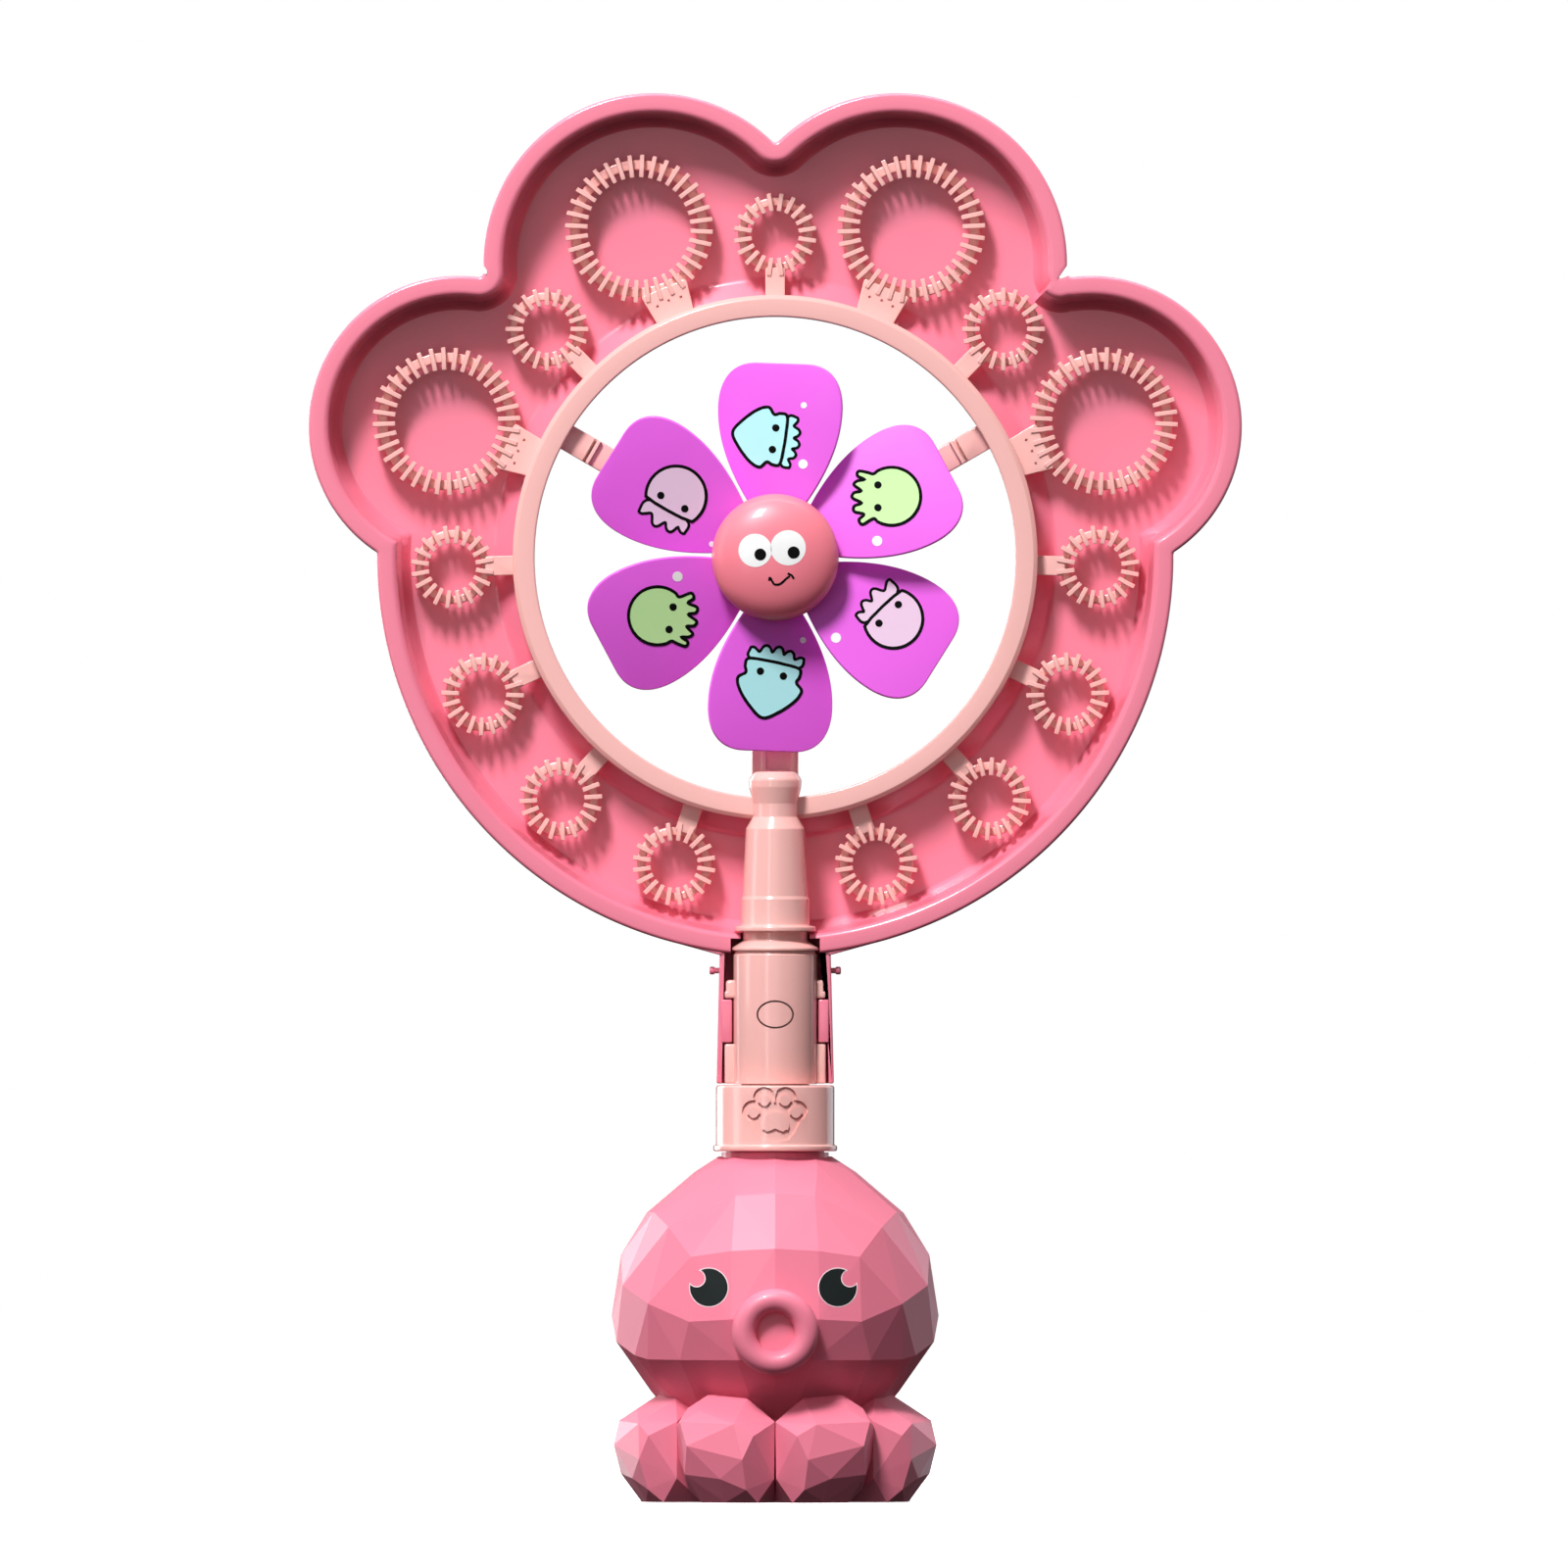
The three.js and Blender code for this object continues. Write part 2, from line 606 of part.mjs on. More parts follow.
function makeRearShell() {
  const keep = box(-20, 20, GAP / 2, 20, 100, REAR_SHELL_TOP_Z);
  const upperBoss = rodY(SCREW_BOSS_R, TANG.backY + GAP, UPPER_SEAT_Y, UPPER_SCREW_Z, 12);
  const upperHole = rodY(SCREW.shankR + GAP, 0, 12, UPPER_SCREW_Z, 12);
  const upperSeat = rodY(SCREW.headR + GAP, UPPER_SEAT_Y, 12, UPPER_SCREW_Z, 14);
  const lowerHole = rodY(SCREW.shankR + GAP, 0, 12, LOWER_SCREW_Z, 12);
  const lowerSeat = rodY(SCREW.headR + GAP, LOWER_SEAT_Y, 14, LOWER_SCREW_Z, 14);
  const rodHole = rodY(BUTTON.rodR + GAP, 5, 12, BUTTON.z, 16);
  const tube = handleTube().intersect(keep).add(upperBoss);
  return [upperHole, upperSeat, lowerHole, lowerSeat, rodHole].reduce((all, cut) => all.subtract(cut), tube);
}

/** A screw along Y with its head at the back. */
function screw(tipY, headY, z) {
  const head = rodY(SCREW.headR, headY - SCREW.headDepth, headY, z, 14);
  const slot = box(-0.35, 0.35, headY - 0.6, headY + 1, z - 1.5, z + 1.5);
  return head.subtract(slot).add(rodY(SCREW.shankR, tipY, headY - SCREW.headDepth + 0.2, z, 12));
}

function makeCap() {
  const body = revolveZ(
    [
      [0, CEILING_Z],
      [CAP.innerR, CEILING_Z],
      [CAP.innerR, CAP.bottomZ],
      [CAP.flangeR, CAP.bottomZ],
      [CAP.flangeR, CAP.flangeZ],
      [CAP.r, CAP.flangeZ],
      [CAP.r, CAP.topZ - 0.4],
      [CAP.r - 0.4, CAP.topZ],
      [SPIGOT.r, CAP.topZ],
      [SPIGOT.r, SPIGOT.topZ],
      [SPIGOT.innerR, SPIGOT.topZ],
      [SPIGOT.innerR, CAP.topZ],
      [0, CAP.topZ],
    ],
    32,
  );
  const { pitch, wireR, turns, capR, neckZ } = THREAD;
  const thread = coil(capR, wireR, pitch * turns, turns, neckZ + pitch / 2, 14, 6);
  const screwBoss = box(-SCREW_BOSS_R, SCREW_BOSS_R, 2, 7.6, CAP.topZ - 0.2, SPIGOT.topZ);
  const pilot = rodY(SCREW.shankR + 0.1, 2.6, 12, LOWER_SCREW_Z, 12);
  return joined([body, thread, screwBoss]).subtract(pilot);
}

// ---- Button and its spring ----

function makeButton() {
  const { z, halfWidth, halfHeight, flange, rodR, rodEndY } = BUTTON;
  const face = plate(ellipse(halfWidth, halfHeight), -12, -6.5, 8).translate([0, 0, z]);
  const round = revolveZ(
    [
      [0, z - 10],
      [BUTTON_FACE_R, z - 10],
      [BUTTON_FACE_R, z + 10],
      [0, z + 10],
    ],
    48,
  );
  const collar = plate(ellipse(halfWidth + flange, halfHeight + flange), -6.9, -5.9, 8).translate([0, 0, z]);
  return face.intersect(round).add(collar).add(rodY(rodR, -6, rodEndY, z, 14));
}

function makeSpring() {
  const { r, wireR, turns, frontY, backY } = SPRING;
  return coil(r, wireR, backY - frontY, turns, 0, 12, 6).rotate([-90, 0, 0]).translate([0, frontY, BUTTON.z]);
}

// ---- Windmill ----

/** The outline of one petal, drawn along +Y from the hub. */
function petalShape() {
  const shape = new THREE.Shape();
  shape.moveTo(2.5, 6);
  shape.lineTo(2.5, 9.6);
  shape.lineTo(6.4, 12.2);
  shape.bezierCurveTo(9.4, 16.4, 16.5, 26.5, 16.5, 38);
  shape.bezierCurveTo(16.5, 44.5, 13.5, 49.6, 6.5, 49.6);
  shape.lineTo(-6.5, 49.6);
  shape.bezierCurveTo(-13.5, 49.6, -16.5, 44.5, -16.5, 38);
  shape.bezierCurveTo(-16.5, 26.5, -9.4, 16.4, -6.4, 12.2);
  shape.lineTo(-2.5, 9.6);
  shape.lineTo(-2.5, 6);
  return shape;
}

/** Tilts a solid drawn upright about its own length, then puts it round the hub. */
function petalPlace(made, index) {
  const turn = FAN_TURN + (360 / PETALS) * index;
  return made
    .rotate([0, 0, -PETAL_PITCH])
    .rotate([0, -turn, 0])
    .translate([0, FAN_Y, WHEEL_Z]);
}

const makePetal = (index) => petalPlace(plate(petalShape(), -PETAL_THICK / 2, PETAL_THICK / 2, 7), index);

function makeHubBase() {
  const body = revolveWheel(
    [
      [0, BOSS.frontY],
      [BOSS.r, BOSS.frontY],
      [BOSS.r, BOSS.discY],
      [BOSS.discR, BOSS.discY],
      [BOSS.discR, BOSS.backY],
      [0, BOSS.backY],
    ],
    36,
  );
  const bore = rodY(AXLE_R + 0.4, -12, 6, WHEEL_Z, 24);
  const halfSlot = PETAL_THICK / 2 + GAP;
  const slots = Array.from({ length: PETALS }, (_, i) =>
    petalPlace(box(-2.8, 2.8, -halfSlot, halfSlot, 5.6, 10), i),
  );
  return slots.reduce((all, slot) => all.subtract(slot), body.subtract(bore));
}

/** A quarter ellipse from the rim of a dome to its crown, as [radius, depth] points. */
function dome(r, rimY, crownY, steps) {
  return Array.from({ length: steps + 1 }, (_, i) => {
    const a = (Math.PI / 2) * (i / steps);
    return [r * Math.cos(a), rimY + (crownY - rimY) * Math.sin(a)];
  });
}

function makeHubCap() {
  const { r, backY, skirtY, frontY, wall } = HUB_CAP;
  const outer = [[r, backY], ...dome(r, skirtY, frontY, 6)];
  const inner = [[r - wall, backY], ...dome(r - wall, skirtY, frontY + wall, 4)].reverse();
  const shell = revolveWheel([...inner, ...outer], 32);
  const gripR = BOSS.r + GAP;
  const socket = revolveWheel(
    closed([
      [gripR, SOCKET.backY],
      [gripR + SOCKET.wall, SOCKET.backY],
      [gripR + SOCKET.wall, SOCKET.frontY],
      [gripR, SOCKET.frontY],
    ]),
    32,
  );
  return shell.add(socket.intersect(revolveWheel([[0, 0], ...outer], 32)));
}

/** A flat ring on the axle. */
function washer({ r, frontY, backY }) {
  const bore = AXLE_R + GAP;
  const section = closed([
    [bore, frontY],
    [r, frontY],
    [r, backY],
    [bore, backY],
  ]);
  return revolveWheel(section, 20);
}

/** The axle, with its head behind the bracket. */
function makeAxle() {
  const head = rodY(AXLE.headR, AXLE.headY, AXLE.backY, WHEEL_Z, 18);
  return head.add(rodY(AXLE_R, AXLE.frontY, AXLE.headY + 0.1, WHEEL_Z, 18));
}

// ---- Bottle ----

/** The same corner in each of the four quarters of the head. */
const mirrored = (x, y, z) => [
  new THREE.Vector3(x, y, z),
  new THREE.Vector3(-x, y, z),
  new THREE.Vector3(x, -y, z),
  new THREE.Vector3(-x, -y, z),
];

function headHull(inset) {
  const topZ = HEAD_CORNERS[0][2] - inset;
  const points = HEAD_CORNERS.flatMap(([x, y, z]) => {
    const share = 1 - inset / Math.hypot(x, y);
    return mirrored(x * share, y * share, Math.min(z, topZ));
  });
  return solid(new ConvexGeometry(points));
}

/** The eight feet. The first half are turned round the left of the bottle, and the rest mirror them. */
function feet(inset) {
  const { count, reach, widest, middleZ } = FEET;
  const share = 1 - inset / widest;
  const points = FOOT_CORNERS.map(([aside, out, z]) => {
    return new THREE.Vector3(reach + out * share, -aside * share, middleZ + (z - middleZ) * share);
  });
  const foot = solid(new ConvexGeometry(points));
  const left = Array.from({ length: count / 2 }, (_, i) => {
    const angle = 90 + (360 / count) * (i + 0.5);
    return angle < 180 ? foot.mirror([0, 1, 0]).rotate([0, 0, angle]) : foot.rotate([0, 0, angle]);
  });
  return joined([...left, ...left.map((one) => one.mirror([1, 0, 0]))]);
}

function core(r, z0, z1) {
  const upright = new THREE.CylinderGeometry(r, r, z1 - z0, 16).rotateX(Math.PI / 2);
  return solid(upright.translate(0, 0, (z0 + z1) / 2));
}

const bottleOuter = () => joined([headHull(0), core(CORE_R, 0, CORE_TOP_Z), feet(0)]);

function makeBottle() {
  const innerCore = core(CORE_R - BOTTLE_WALL, 0, CORE_TOP_Z - BOTTLE_WALL);
  const inner = joined([headHull(BOTTLE_WALL), innerCore, feet(BOTTLE_WALL)]);
  const hollow = inner.subtract(box(-80, 80, -80, 80, -40, BOTTLE_WALL));
  const neck = revolveZ(
    [
      [0, 85],
      [NECK.beadR, 85],
      [NECK.beadR, NECK.beadTopZ],
      [NECK.r, NECK.beadTopZ],
      [NECK.r, NECK.topZ],
      [0, NECK.topZ],
    ],
    32,
  );
  const bore = revolveZ(
    [
      [0, 80],
      [NECK.boreR, 80],
      [NECK.boreR, NECK.topZ + 2],
      [0, NECK.topZ + 2],
    ],
    32,
  );
  const { pitch, wireR, turns, neckR, neckZ } = THREAD;
  const thread = coil(neckR, wireR, pitch * turns, turns, neckZ, 14, 6);
  return joined([bottleOuter(), neck, thread]).subtract(bore.add(hollow));
}

/** The round mouth: a ring with a sunk disc, its back cut to the facets of the head. */
function makeMouth() {
  const { z, majorR, tubeR, y, discR } = MOUTH;
  const tube = Array.from({ length: 10 }, (_, i) => {
    const a = (2 * Math.PI * i) / 10;
    return [majorR + tubeR * Math.cos(a), y + tubeR * Math.sin(a)];
  });
  const ring = revolveWheel(closed(tube), 32);
  const skirt = rodY(majorR + tubeR - 1, y, y + 8, WHEEL_Z, 32);
  const well = rodY(discR - 0.2, y - 8, y + 0.4, WHEEL_Z, 24);
  const placed = ring.add(skirt).subtract(well).translate([0, 0, z - WHEEL_Z]);
  return placed.subtract(bottleOuter().translate([0, -GAP, 0]));
}

// ---- Assembly ----

const petals = Array.from({ length: PETALS }, (_, i) => mesh(`petal_${i + 1}`, makePetal(i), MAGENTA));
const linerZ = [NECK.topZ + GAP, CEILING_Z - GAP];
const windmill = new THREE.Group().add(
  mesh("hub_base", makeHubBase(), MAGENTA),
  ...petals,
  mesh("hub_cap", makeHubCap(), CORAL),
);
const wand = new THREE.Group().add(
  mesh("collar_cap", makeCap(), PEACH),
  mesh("handle_front_shell", makeFrontShell(), PEACH),
  mesh("handle_rear_shell", makeRearShell(), PEACH),
  mesh("bubble_ring", makeBubbleRing(), PEACH),
  mesh("fan_bracket", makeFanBracket(), PEACH),
  mesh("axle_pin", makeAxle(), STEEL),
  mesh("axle_washer", washer(WASHER), STEEL),
  mesh("retaining_clip", washer(CLIP), STEEL),
  mesh("neck_screw", screw(-5, 8.8, UPPER_SCREW_Z), STEEL),
  mesh("handle_screw", screw(3.2, 11.1, LOWER_SCREW_Z), STEEL),
  mesh("button_spring", makeSpring(), STEEL),
);
const bottle = new THREE.Group().add(
  mesh("bottle_body", makeBottle(), PINK),
  mesh("mouth_ring", makeMouth(), PINK),
);
const toy = new THREE.Group().add(
  bottle,
  mesh("cap_liner", core(13.2, ...linerZ), FOAM),
  wand,
  mesh("release_button", makeButton(), PEACH),
  windmill,
  mesh("tray", makeTray(), PINK),
);

export default toy;
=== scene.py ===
"""Looks of the bubble wand: plastic shells, ribbed bubble loops, printed petals and a faceted bottle.

Lengths are in millimetres until a mesh is made, and every mesh is stored in metres in the frame's own axes:
+Z up, the front of the wand faces -Y, and the bottle stands on z = 0.
"""

import json
import math

import bmesh
import bpy
from mathutils import Matrix, Vector

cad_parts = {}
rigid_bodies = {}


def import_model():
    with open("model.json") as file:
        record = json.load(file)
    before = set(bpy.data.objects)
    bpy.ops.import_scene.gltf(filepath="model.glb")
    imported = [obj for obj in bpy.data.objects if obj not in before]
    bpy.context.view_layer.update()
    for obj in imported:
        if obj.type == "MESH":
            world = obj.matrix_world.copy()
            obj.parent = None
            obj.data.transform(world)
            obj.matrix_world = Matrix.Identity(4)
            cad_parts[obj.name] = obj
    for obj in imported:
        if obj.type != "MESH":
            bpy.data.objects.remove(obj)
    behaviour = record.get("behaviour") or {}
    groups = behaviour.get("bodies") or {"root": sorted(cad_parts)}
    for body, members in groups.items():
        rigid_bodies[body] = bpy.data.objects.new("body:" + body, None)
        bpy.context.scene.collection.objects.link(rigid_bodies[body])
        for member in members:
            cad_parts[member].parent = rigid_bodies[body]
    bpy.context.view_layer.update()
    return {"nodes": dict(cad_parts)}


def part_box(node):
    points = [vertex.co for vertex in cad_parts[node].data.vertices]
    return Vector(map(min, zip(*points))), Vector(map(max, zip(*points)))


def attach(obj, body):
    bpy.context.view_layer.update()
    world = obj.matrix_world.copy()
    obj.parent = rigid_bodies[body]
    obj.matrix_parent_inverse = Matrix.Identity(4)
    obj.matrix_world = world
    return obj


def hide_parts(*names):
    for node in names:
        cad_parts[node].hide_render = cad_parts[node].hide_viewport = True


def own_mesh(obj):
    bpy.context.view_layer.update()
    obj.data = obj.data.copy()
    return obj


MM = 0.001
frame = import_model()


def node_box(name):
    """Lowest and highest corner of a CAD node, in millimetres."""
    low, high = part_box(name)
    return low / MM, high / MM


# ---- Places read from the frame ----

HUB_LOW, HUB_HIGH = node_box("hub_cap")
WHEEL_Z = (HUB_LOW.z + HUB_HIGH.z) / 2
HUB_R = (HUB_HIGH.x - HUB_LOW.x) / 2
COLLAR_LOW, COLLAR_HIGH = node_box("collar_cap")
HANDLE_LOW, HANDLE_HIGH = node_box("handle_front_shell")
TRAY_LOW, TRAY_HIGH = node_box("tray")
RING_LOW = node_box("bubble_ring")[0]
MOUTH_LOW, MOUTH_HIGH = node_box("mouth_ring")
BUTTON_LOW, BUTTON_HIGH = node_box("release_button")
BUTTON_Z = (BUTTON_LOW.z + BUTTON_HIGH.z) / 2
PIN_LOW, PIN_HIGH = node_box("axle_pin")

# ---- Sizes, in millimetres ----

GAP = 0.3

BODY_R = 101.6
LOBES = [(22.5, 87.3, 38.4), (67.5, 81.2, 43.4), (112.5, 81.2, 43.4), (157.5, 87.3, 38.4)]
NOTCH_FILLET = 1.2
TRAY_STEPS = 960
CHANNEL_TOP_Z = 143
CHANNEL_HALF_TOP = 14.1
CHANNEL_HALF_BOTTOM = 15
CHANNEL_WALL = 1.2
CHANNEL_FLOOR_Y = 12.3
CHANNEL_BACK_Y = 13.9
STUD_Y = 3
STUD_Z = 135.4
STUD_REACH = 16.8
DETENT_Z = (117, 128)
DETENT_TIP = 11
PASSAGE = [(104, 143.6, 11.4), (143.5, 145.2, 8.8), (145.1, 147.2, 10.8), (147.1, 174, 9)]
CLOSER = [(0.5, 140), (13.9, 140), (13.9, 147.4), (11, 146), (0.5, 143.4)]
GUSSET = [(13.5, 139.2), (24.5, 142.2), (24.5, 143.6), (13.5, 143.6)]

RING_INNER = 61.4
RING_OUTER = 67
SMALL_LOOP = {"reach": 82.4, "tip": (6, 10.6), "band": (7.3, 9.5), "ribs": 20, "stem": (5, 5)}
BIG_LOOP = {"reach": 90.8, "tip": (13.1, 18.9), "band": (15, 17.6), "ribs": 36, "stem": (10, 12.5)}
BIG_ANGLES = [angle for angle, _, _ in LOBES]
SMALL_ANGLES = [45, 90, 135] + [side for k in range(4) for side in (-1.7 - 23.35 * k, 181.7 + 23.35 * k)]
LOOP_Y = (6.4, 10.6)
STEM_Y = (6.8, 9.2)
RIB_WIDTH = 1.2

RAIL_REACH = 12.6
NECK_SCREW_Z = 158
HANDLE_SCREW_Z = 111

FAN_TURN = -2
FAN_Y = -2
PETALS = 6
PETAL_PITCH = 15
PETAL_THICK = 1.2
PRINT_LIFT = 0.06
PRINT_ROOT = 0.05

EYES = (("left", -16.9, -1), ("right", 15.95, 1))
EYE_Z = 54.85
EYE_R = 4.8

# ---- Materials ----


def linear(red, green, blue):
    """An sRGB colour of 0 to 255 as linear light."""
    return [((c / 255 + 0.055) / 1.055) ** 2.4 if c > 10 else c / 3294.6 for c in (red, green, blue)] + [1]


def node(tree, kind, inputs=None, **settings):
    made = tree.nodes.new("ShaderNode" + kind)
    for name, value in settings.items():
        setattr(made, name, value)
    for name, value in (inputs or {}).items():
        made.inputs[name].default_value = value
    return made


def texture(tree, kind, inputs):
    """A procedural texture in the object's own coordinates."""
    made = node(tree, "Tex" + kind, inputs)
    tree.links.new(node(tree, "TexCoord").outputs["Object"], made.inputs["Vector"])
    return made


def bump(tree, height, strength, distance, below=None):
    """A bump from a height, on top of the normal below it."""
    made = node(tree, "Bump", {"Strength": strength, "Distance": distance})
    tree.links.new(height, made.inputs["Height"])
    if below:
        tree.links.new(below, made.inputs["Normal"])
    return made.outputs["Normal"]


def plastic(name, colour, rough=0.36, coat=0.25, wave=0.04, underside_shade_level=0.5):
    """Moulded plastic: cloudy pigment, fine grain, slow waves, faint scuffs, and painted shade that darkens
    faces looking down.
    """
    material = bpy.data.materials.new(name)
    material.use_nodes = True
    tree = material.node_tree
    link = tree.links.new
    shader = tree.nodes["Principled BSDF"]
    cloud = texture(tree, "Noise", {"Scale": 55, "Detail": 3})
    grain = texture(tree, "Noise", {"Scale": 2600, "Detail": 2})
    swell = texture(tree, "Noise", {"Scale": 90, "Detail": 1})
    scuff = texture(tree, "Noise", {"Scale": 420, "Detail": 6, "Roughness": 0.7})

    tint = node(tree, "MapRange", {"From Min": 0.3, "From Max": 0.7, "To Min": 0.993, "To Max": 1.007})
    link(cloud.outputs["Fac"], tint.inputs["Value"])
    slope = node(tree, "SeparateXYZ")
    link(node(tree, "NewGeometry").outputs["Normal"], slope.inputs["Vector"])
    # Painted shade: faces that look down get a darker base colour, standing in for the shade that falls
    # under things.
    painted_underside_shade = node(tree, "MapRange", {"From Min": -0.95, "From Max": -0.35, "To Min": underside_shade_level, "To Max": 1})
    link(slope.outputs["Z"], painted_underside_shade.inputs["Value"])
    value = node(tree, "Math", operation="MULTIPLY")
    link(tint.outputs["Result"], value.inputs[0])
    link(painted_underside_shade.outputs["Result"], value.inputs[1])
    shade = node(tree, "HueSaturation", {"Color": colour})
    link(value.outputs["Value"], shade.inputs["Value"])
    link(shade.outputs["Color"], shader.inputs["Base Color"])

    spread = {"From Min": 0.45, "From Max": 0.72, "To Min": rough, "To Max": rough + 0.03}
    wear = node(tree, "MapRange", spread)
    link(scuff.outputs["Fac"], wear.inputs["Value"])
    link(wear.outputs["Result"], shader.inputs["Roughness"])

    fine = bump(tree, grain.outputs["Fac"], 0.06, 0.00004)
    link(bump(tree, swell.outputs["Fac"], wave, 0.0008, fine), shader.inputs["Normal"])

    # The same painted-shade mask also dims the gloss of faces that look down.
    for name, level in (("Specular IOR Level", 0.5), ("Coat Weight", coat)):
        gloss = node(tree, "Math", {1: level}, operation="MULTIPLY")
        link(painted_underside_shade.outputs["Result"], gloss.inputs[0])
        link(gloss.outputs["Value"], shader.inputs[name])
    shader.inputs["IOR"].default_value = 1.49
    shader.inputs["Coat Roughness"].default_value = 0.08
    return material


def ink(name, colour, rough=0.6, shine=0.3):
    """Pad-printed ink: slightly uneven cover over the plastic below."""
    material = plastic(name, colour, rough=rough, coat=0, wave=0.02, underside_shade_level=1)
    tree = material.node_tree
    speck = texture(tree, "Noise", {"Scale": 5200, "Detail": 1})
    shader = tree.nodes["Principled BSDF"]
    tree.links.remove(shader.inputs["Specular IOR Level"].links[0])
    shader.inputs["Specular IOR Level"].default_value = shine
    below = shader.inputs["Normal"].links[0].from_socket
    tree.links.new(bump(tree, speck.outputs["Fac"], 0.2, 0.00003, below), shader.inputs["Normal"])
    return material


def metal(name, colour, rough=0.3):
    """Zinc-plated steel with fine turning marks."""
    material = bpy.data.materials.new(name)
    material.use_nodes = True
    tree = material.node_tree
    shader = tree.nodes["Principled BSDF"]
    shader.inputs["Base Color"].default_value = colour
    shader.inputs["Metallic"].default_value = 1
    place = node(tree, "TexCoord").outputs["Object"]
    marks = node(tree, "TexNoise", {"Scale": 1500, "Detail": 4})
    stretch = node(tree, "Mapping", {"Scale": (1, 0.08, 1)})
    tree.links.new(place, stretch.inputs["Vector"])
    tree.links.new(stretch.outputs["Vector"], marks.inputs["Vector"])
    spread = node(tree, "MapRange", {"To Min": rough - 0.1, "To Max": rough + 0.15})
    tree.links.new(marks.outputs["Fac"], spread.inputs["Value"])
    tree.links.new(spread.outputs["Result"], shader.inputs["Roughness"])
    tree.links.new(bump(tree, marks.outputs["Fac"], 0.15, 0.00005), shader.inputs["Normal"])
    return material


def foam(name, colour):
    """Closed-cell foam of the cap's liner."""
    material = plastic(name, colour, rough=0.8, coat=0)
    tree = material.node_tree
    cells = texture(tree, "Voronoi", {"Scale": 2200})
    normal = bump(tree, cells.outputs["Distance"], 0.5, 0.0001)
    tree.links.new(normal, tree.nodes["Principled BSDF"].inputs["Normal"])
    return material


# Painted shade: every plastic below is darkened on faces that look down, the tray most of all.
TRAY_PINK = plastic("tray_plastic", linear(253, 136, 162), rough=0.28, coat=0.6, wave=0.003, underside_shade_level=0.3)
BOTTLE_PINK = plastic("bottle_plastic", linear(248, 132, 158), rough=0.42, coat=0.1, wave=0.01, underside_shade_level=0.65)
PEACH = plastic("wand_plastic", linear(255, 193, 187), rough=0.2, coat=0.4, wave=0.005, underside_shade_level=0.8)
MAGENTA = plastic("petal_plastic", linear(240, 100, 236), rough=0.5, coat=0.05, wave=0.03)
CORAL = plastic("hub_plastic", linear(252, 134, 150), rough=0.38, coat=0.2)
INK_BLACK = ink("print_black", linear(8, 8, 9), rough=0.8, shine=0.1)
INK_WHITE = ink("print_white", linear(250, 250, 250))
INK_CYAN = ink("print_cyan", linear(186, 246, 250))
INK_GREEN = ink("print_green", linear(200, 244, 170))
INK_LILAC = ink("print_lilac", linear(238, 205, 232))
EYE_BLACK = ink("eye_black", linear(30, 36, 36), rough=0.3)
EYE_EDGE = ink("eye_edge", linear(255, 226, 232))
STEEL = metal("plated_steel", linear(186, 190, 194))
FOAM = foam("liner_foam", linear(240, 238, 230))

# ---- Flat outlines ----


def rounded(corners, steps=5):
    """A closed outline from [x, y, radius] corners, each corner an arc."""
    outline = []
    for i, (x, y, radius) in enumerate(corners):
        corner = Vector((x, y))
        before = Vector(corners[i - 1][:2]) - corner
        after = Vector(corners[(i + 1) % len(corners)][:2]) - corner
        if radius <= 0:
            outline.append(corner)
            continue
        half = before.angle(after) / 2
        back = min(radius / math.tan(half), 0.49 * min(before.length, after.length))
        before.normalize()
        after.normalize()
        centre = corner + (before + after).normalized() * (back / math.cos(half))
        first = corner + before * back - centre
        last = corner + after * back - centre
        sweep = first.angle_signed(last)
        for k in range(steps + 1):
            turned = first.copy()
            turned.rotate(Matrix.Rotation(-sweep * k / steps, 2))
            outline.append(centre + turned)
    return outline


def ellipse(x, y, half_width, half_height, steps=64):
    turns = [2 * math.pi * k / steps for k in range(steps)]
    return [Vector((x + half_width * math.cos(a), y + half_height * math.sin(a))) for a in turns]


def arc(x, y, radius, first, last, steps=16):
    """Points along part of a circle, between two angles in degrees."""
    turns = [math.radians(first + (last - first) * k / steps) for k in range(steps + 1)]
    return [Vector((x + radius * math.cos(a), y + radius * math.sin(a))) for a in turns]


def stroke(points, width):
    """The left and right sides of a line drawn through the points."""
    left, right = [], []
    for i, point in enumerate(points):
        ahead = (points[min(i + 1, len(points) - 1)] - points[max(i - 1, 0)]).normalized() * width / 2
        left.append(point + Vector((-ahead.y, ahead.x)))
        right.append(point - Vector((-ahead.y, ahead.x)))
    return left, right


def smooth_closed(points, steps=8):
    """A closed curve through the points."""
    curve = []
    count = len(points)
    for i in range(count):
        p0, p1, p2, p3 = (Vector(points[(i + k) % count]) for k in (-1, 0, 1, 2))
        for k in range(steps):
            t = k / steps
            bend = (2 * p0 - 5 * p1 + 4 * p2 - p3) * t * t + (3 * p1 - p0 - 3 * p2 + p3) * t**3
            curve.append(p1 + ((p2 - p0) * t + bend) / 2)
    return curve


def mirrored(points):
    """Points that end on the middle line, followed by their mirror image."""
    return points + [(-x, y) for x, y in reversed(points[:-1])]


def area(outline):
    return sum(a.x * b.y - b.x * a.y for a, b in zip(outline, outline[1:] + outline[:1])) / 2


def inset(outline, distance):
    """The outline moved inwards along the bisectors of its corners."""
    side = 1 if area(outline) > 0 else -1
    moved = []
    for i, point in enumerate(outline):
        one = (point - outline[i - 1]).normalized()
        two = (outline[(i + 1) % len(outline)] - point).normalized()
        inward = Vector((-(one.y + two.y), one.x + two.x)) * side
        if inward.length < 1e-6:
            inward = Vector((-one.y, one.x)) * side
        inward.normalize()
        stretch = max(0.5, abs(inward.dot(Vector((-one.y, one.x)))))
        moved.append(point + inward * distance / stretch)
    return moved


# ---- Meshes ----


def put(name, data):
    """A new object in the scene."""
    made = bpy.data.objects.new(name, data)
    bpy.context.scene.collection.objects.link(made)
    return made


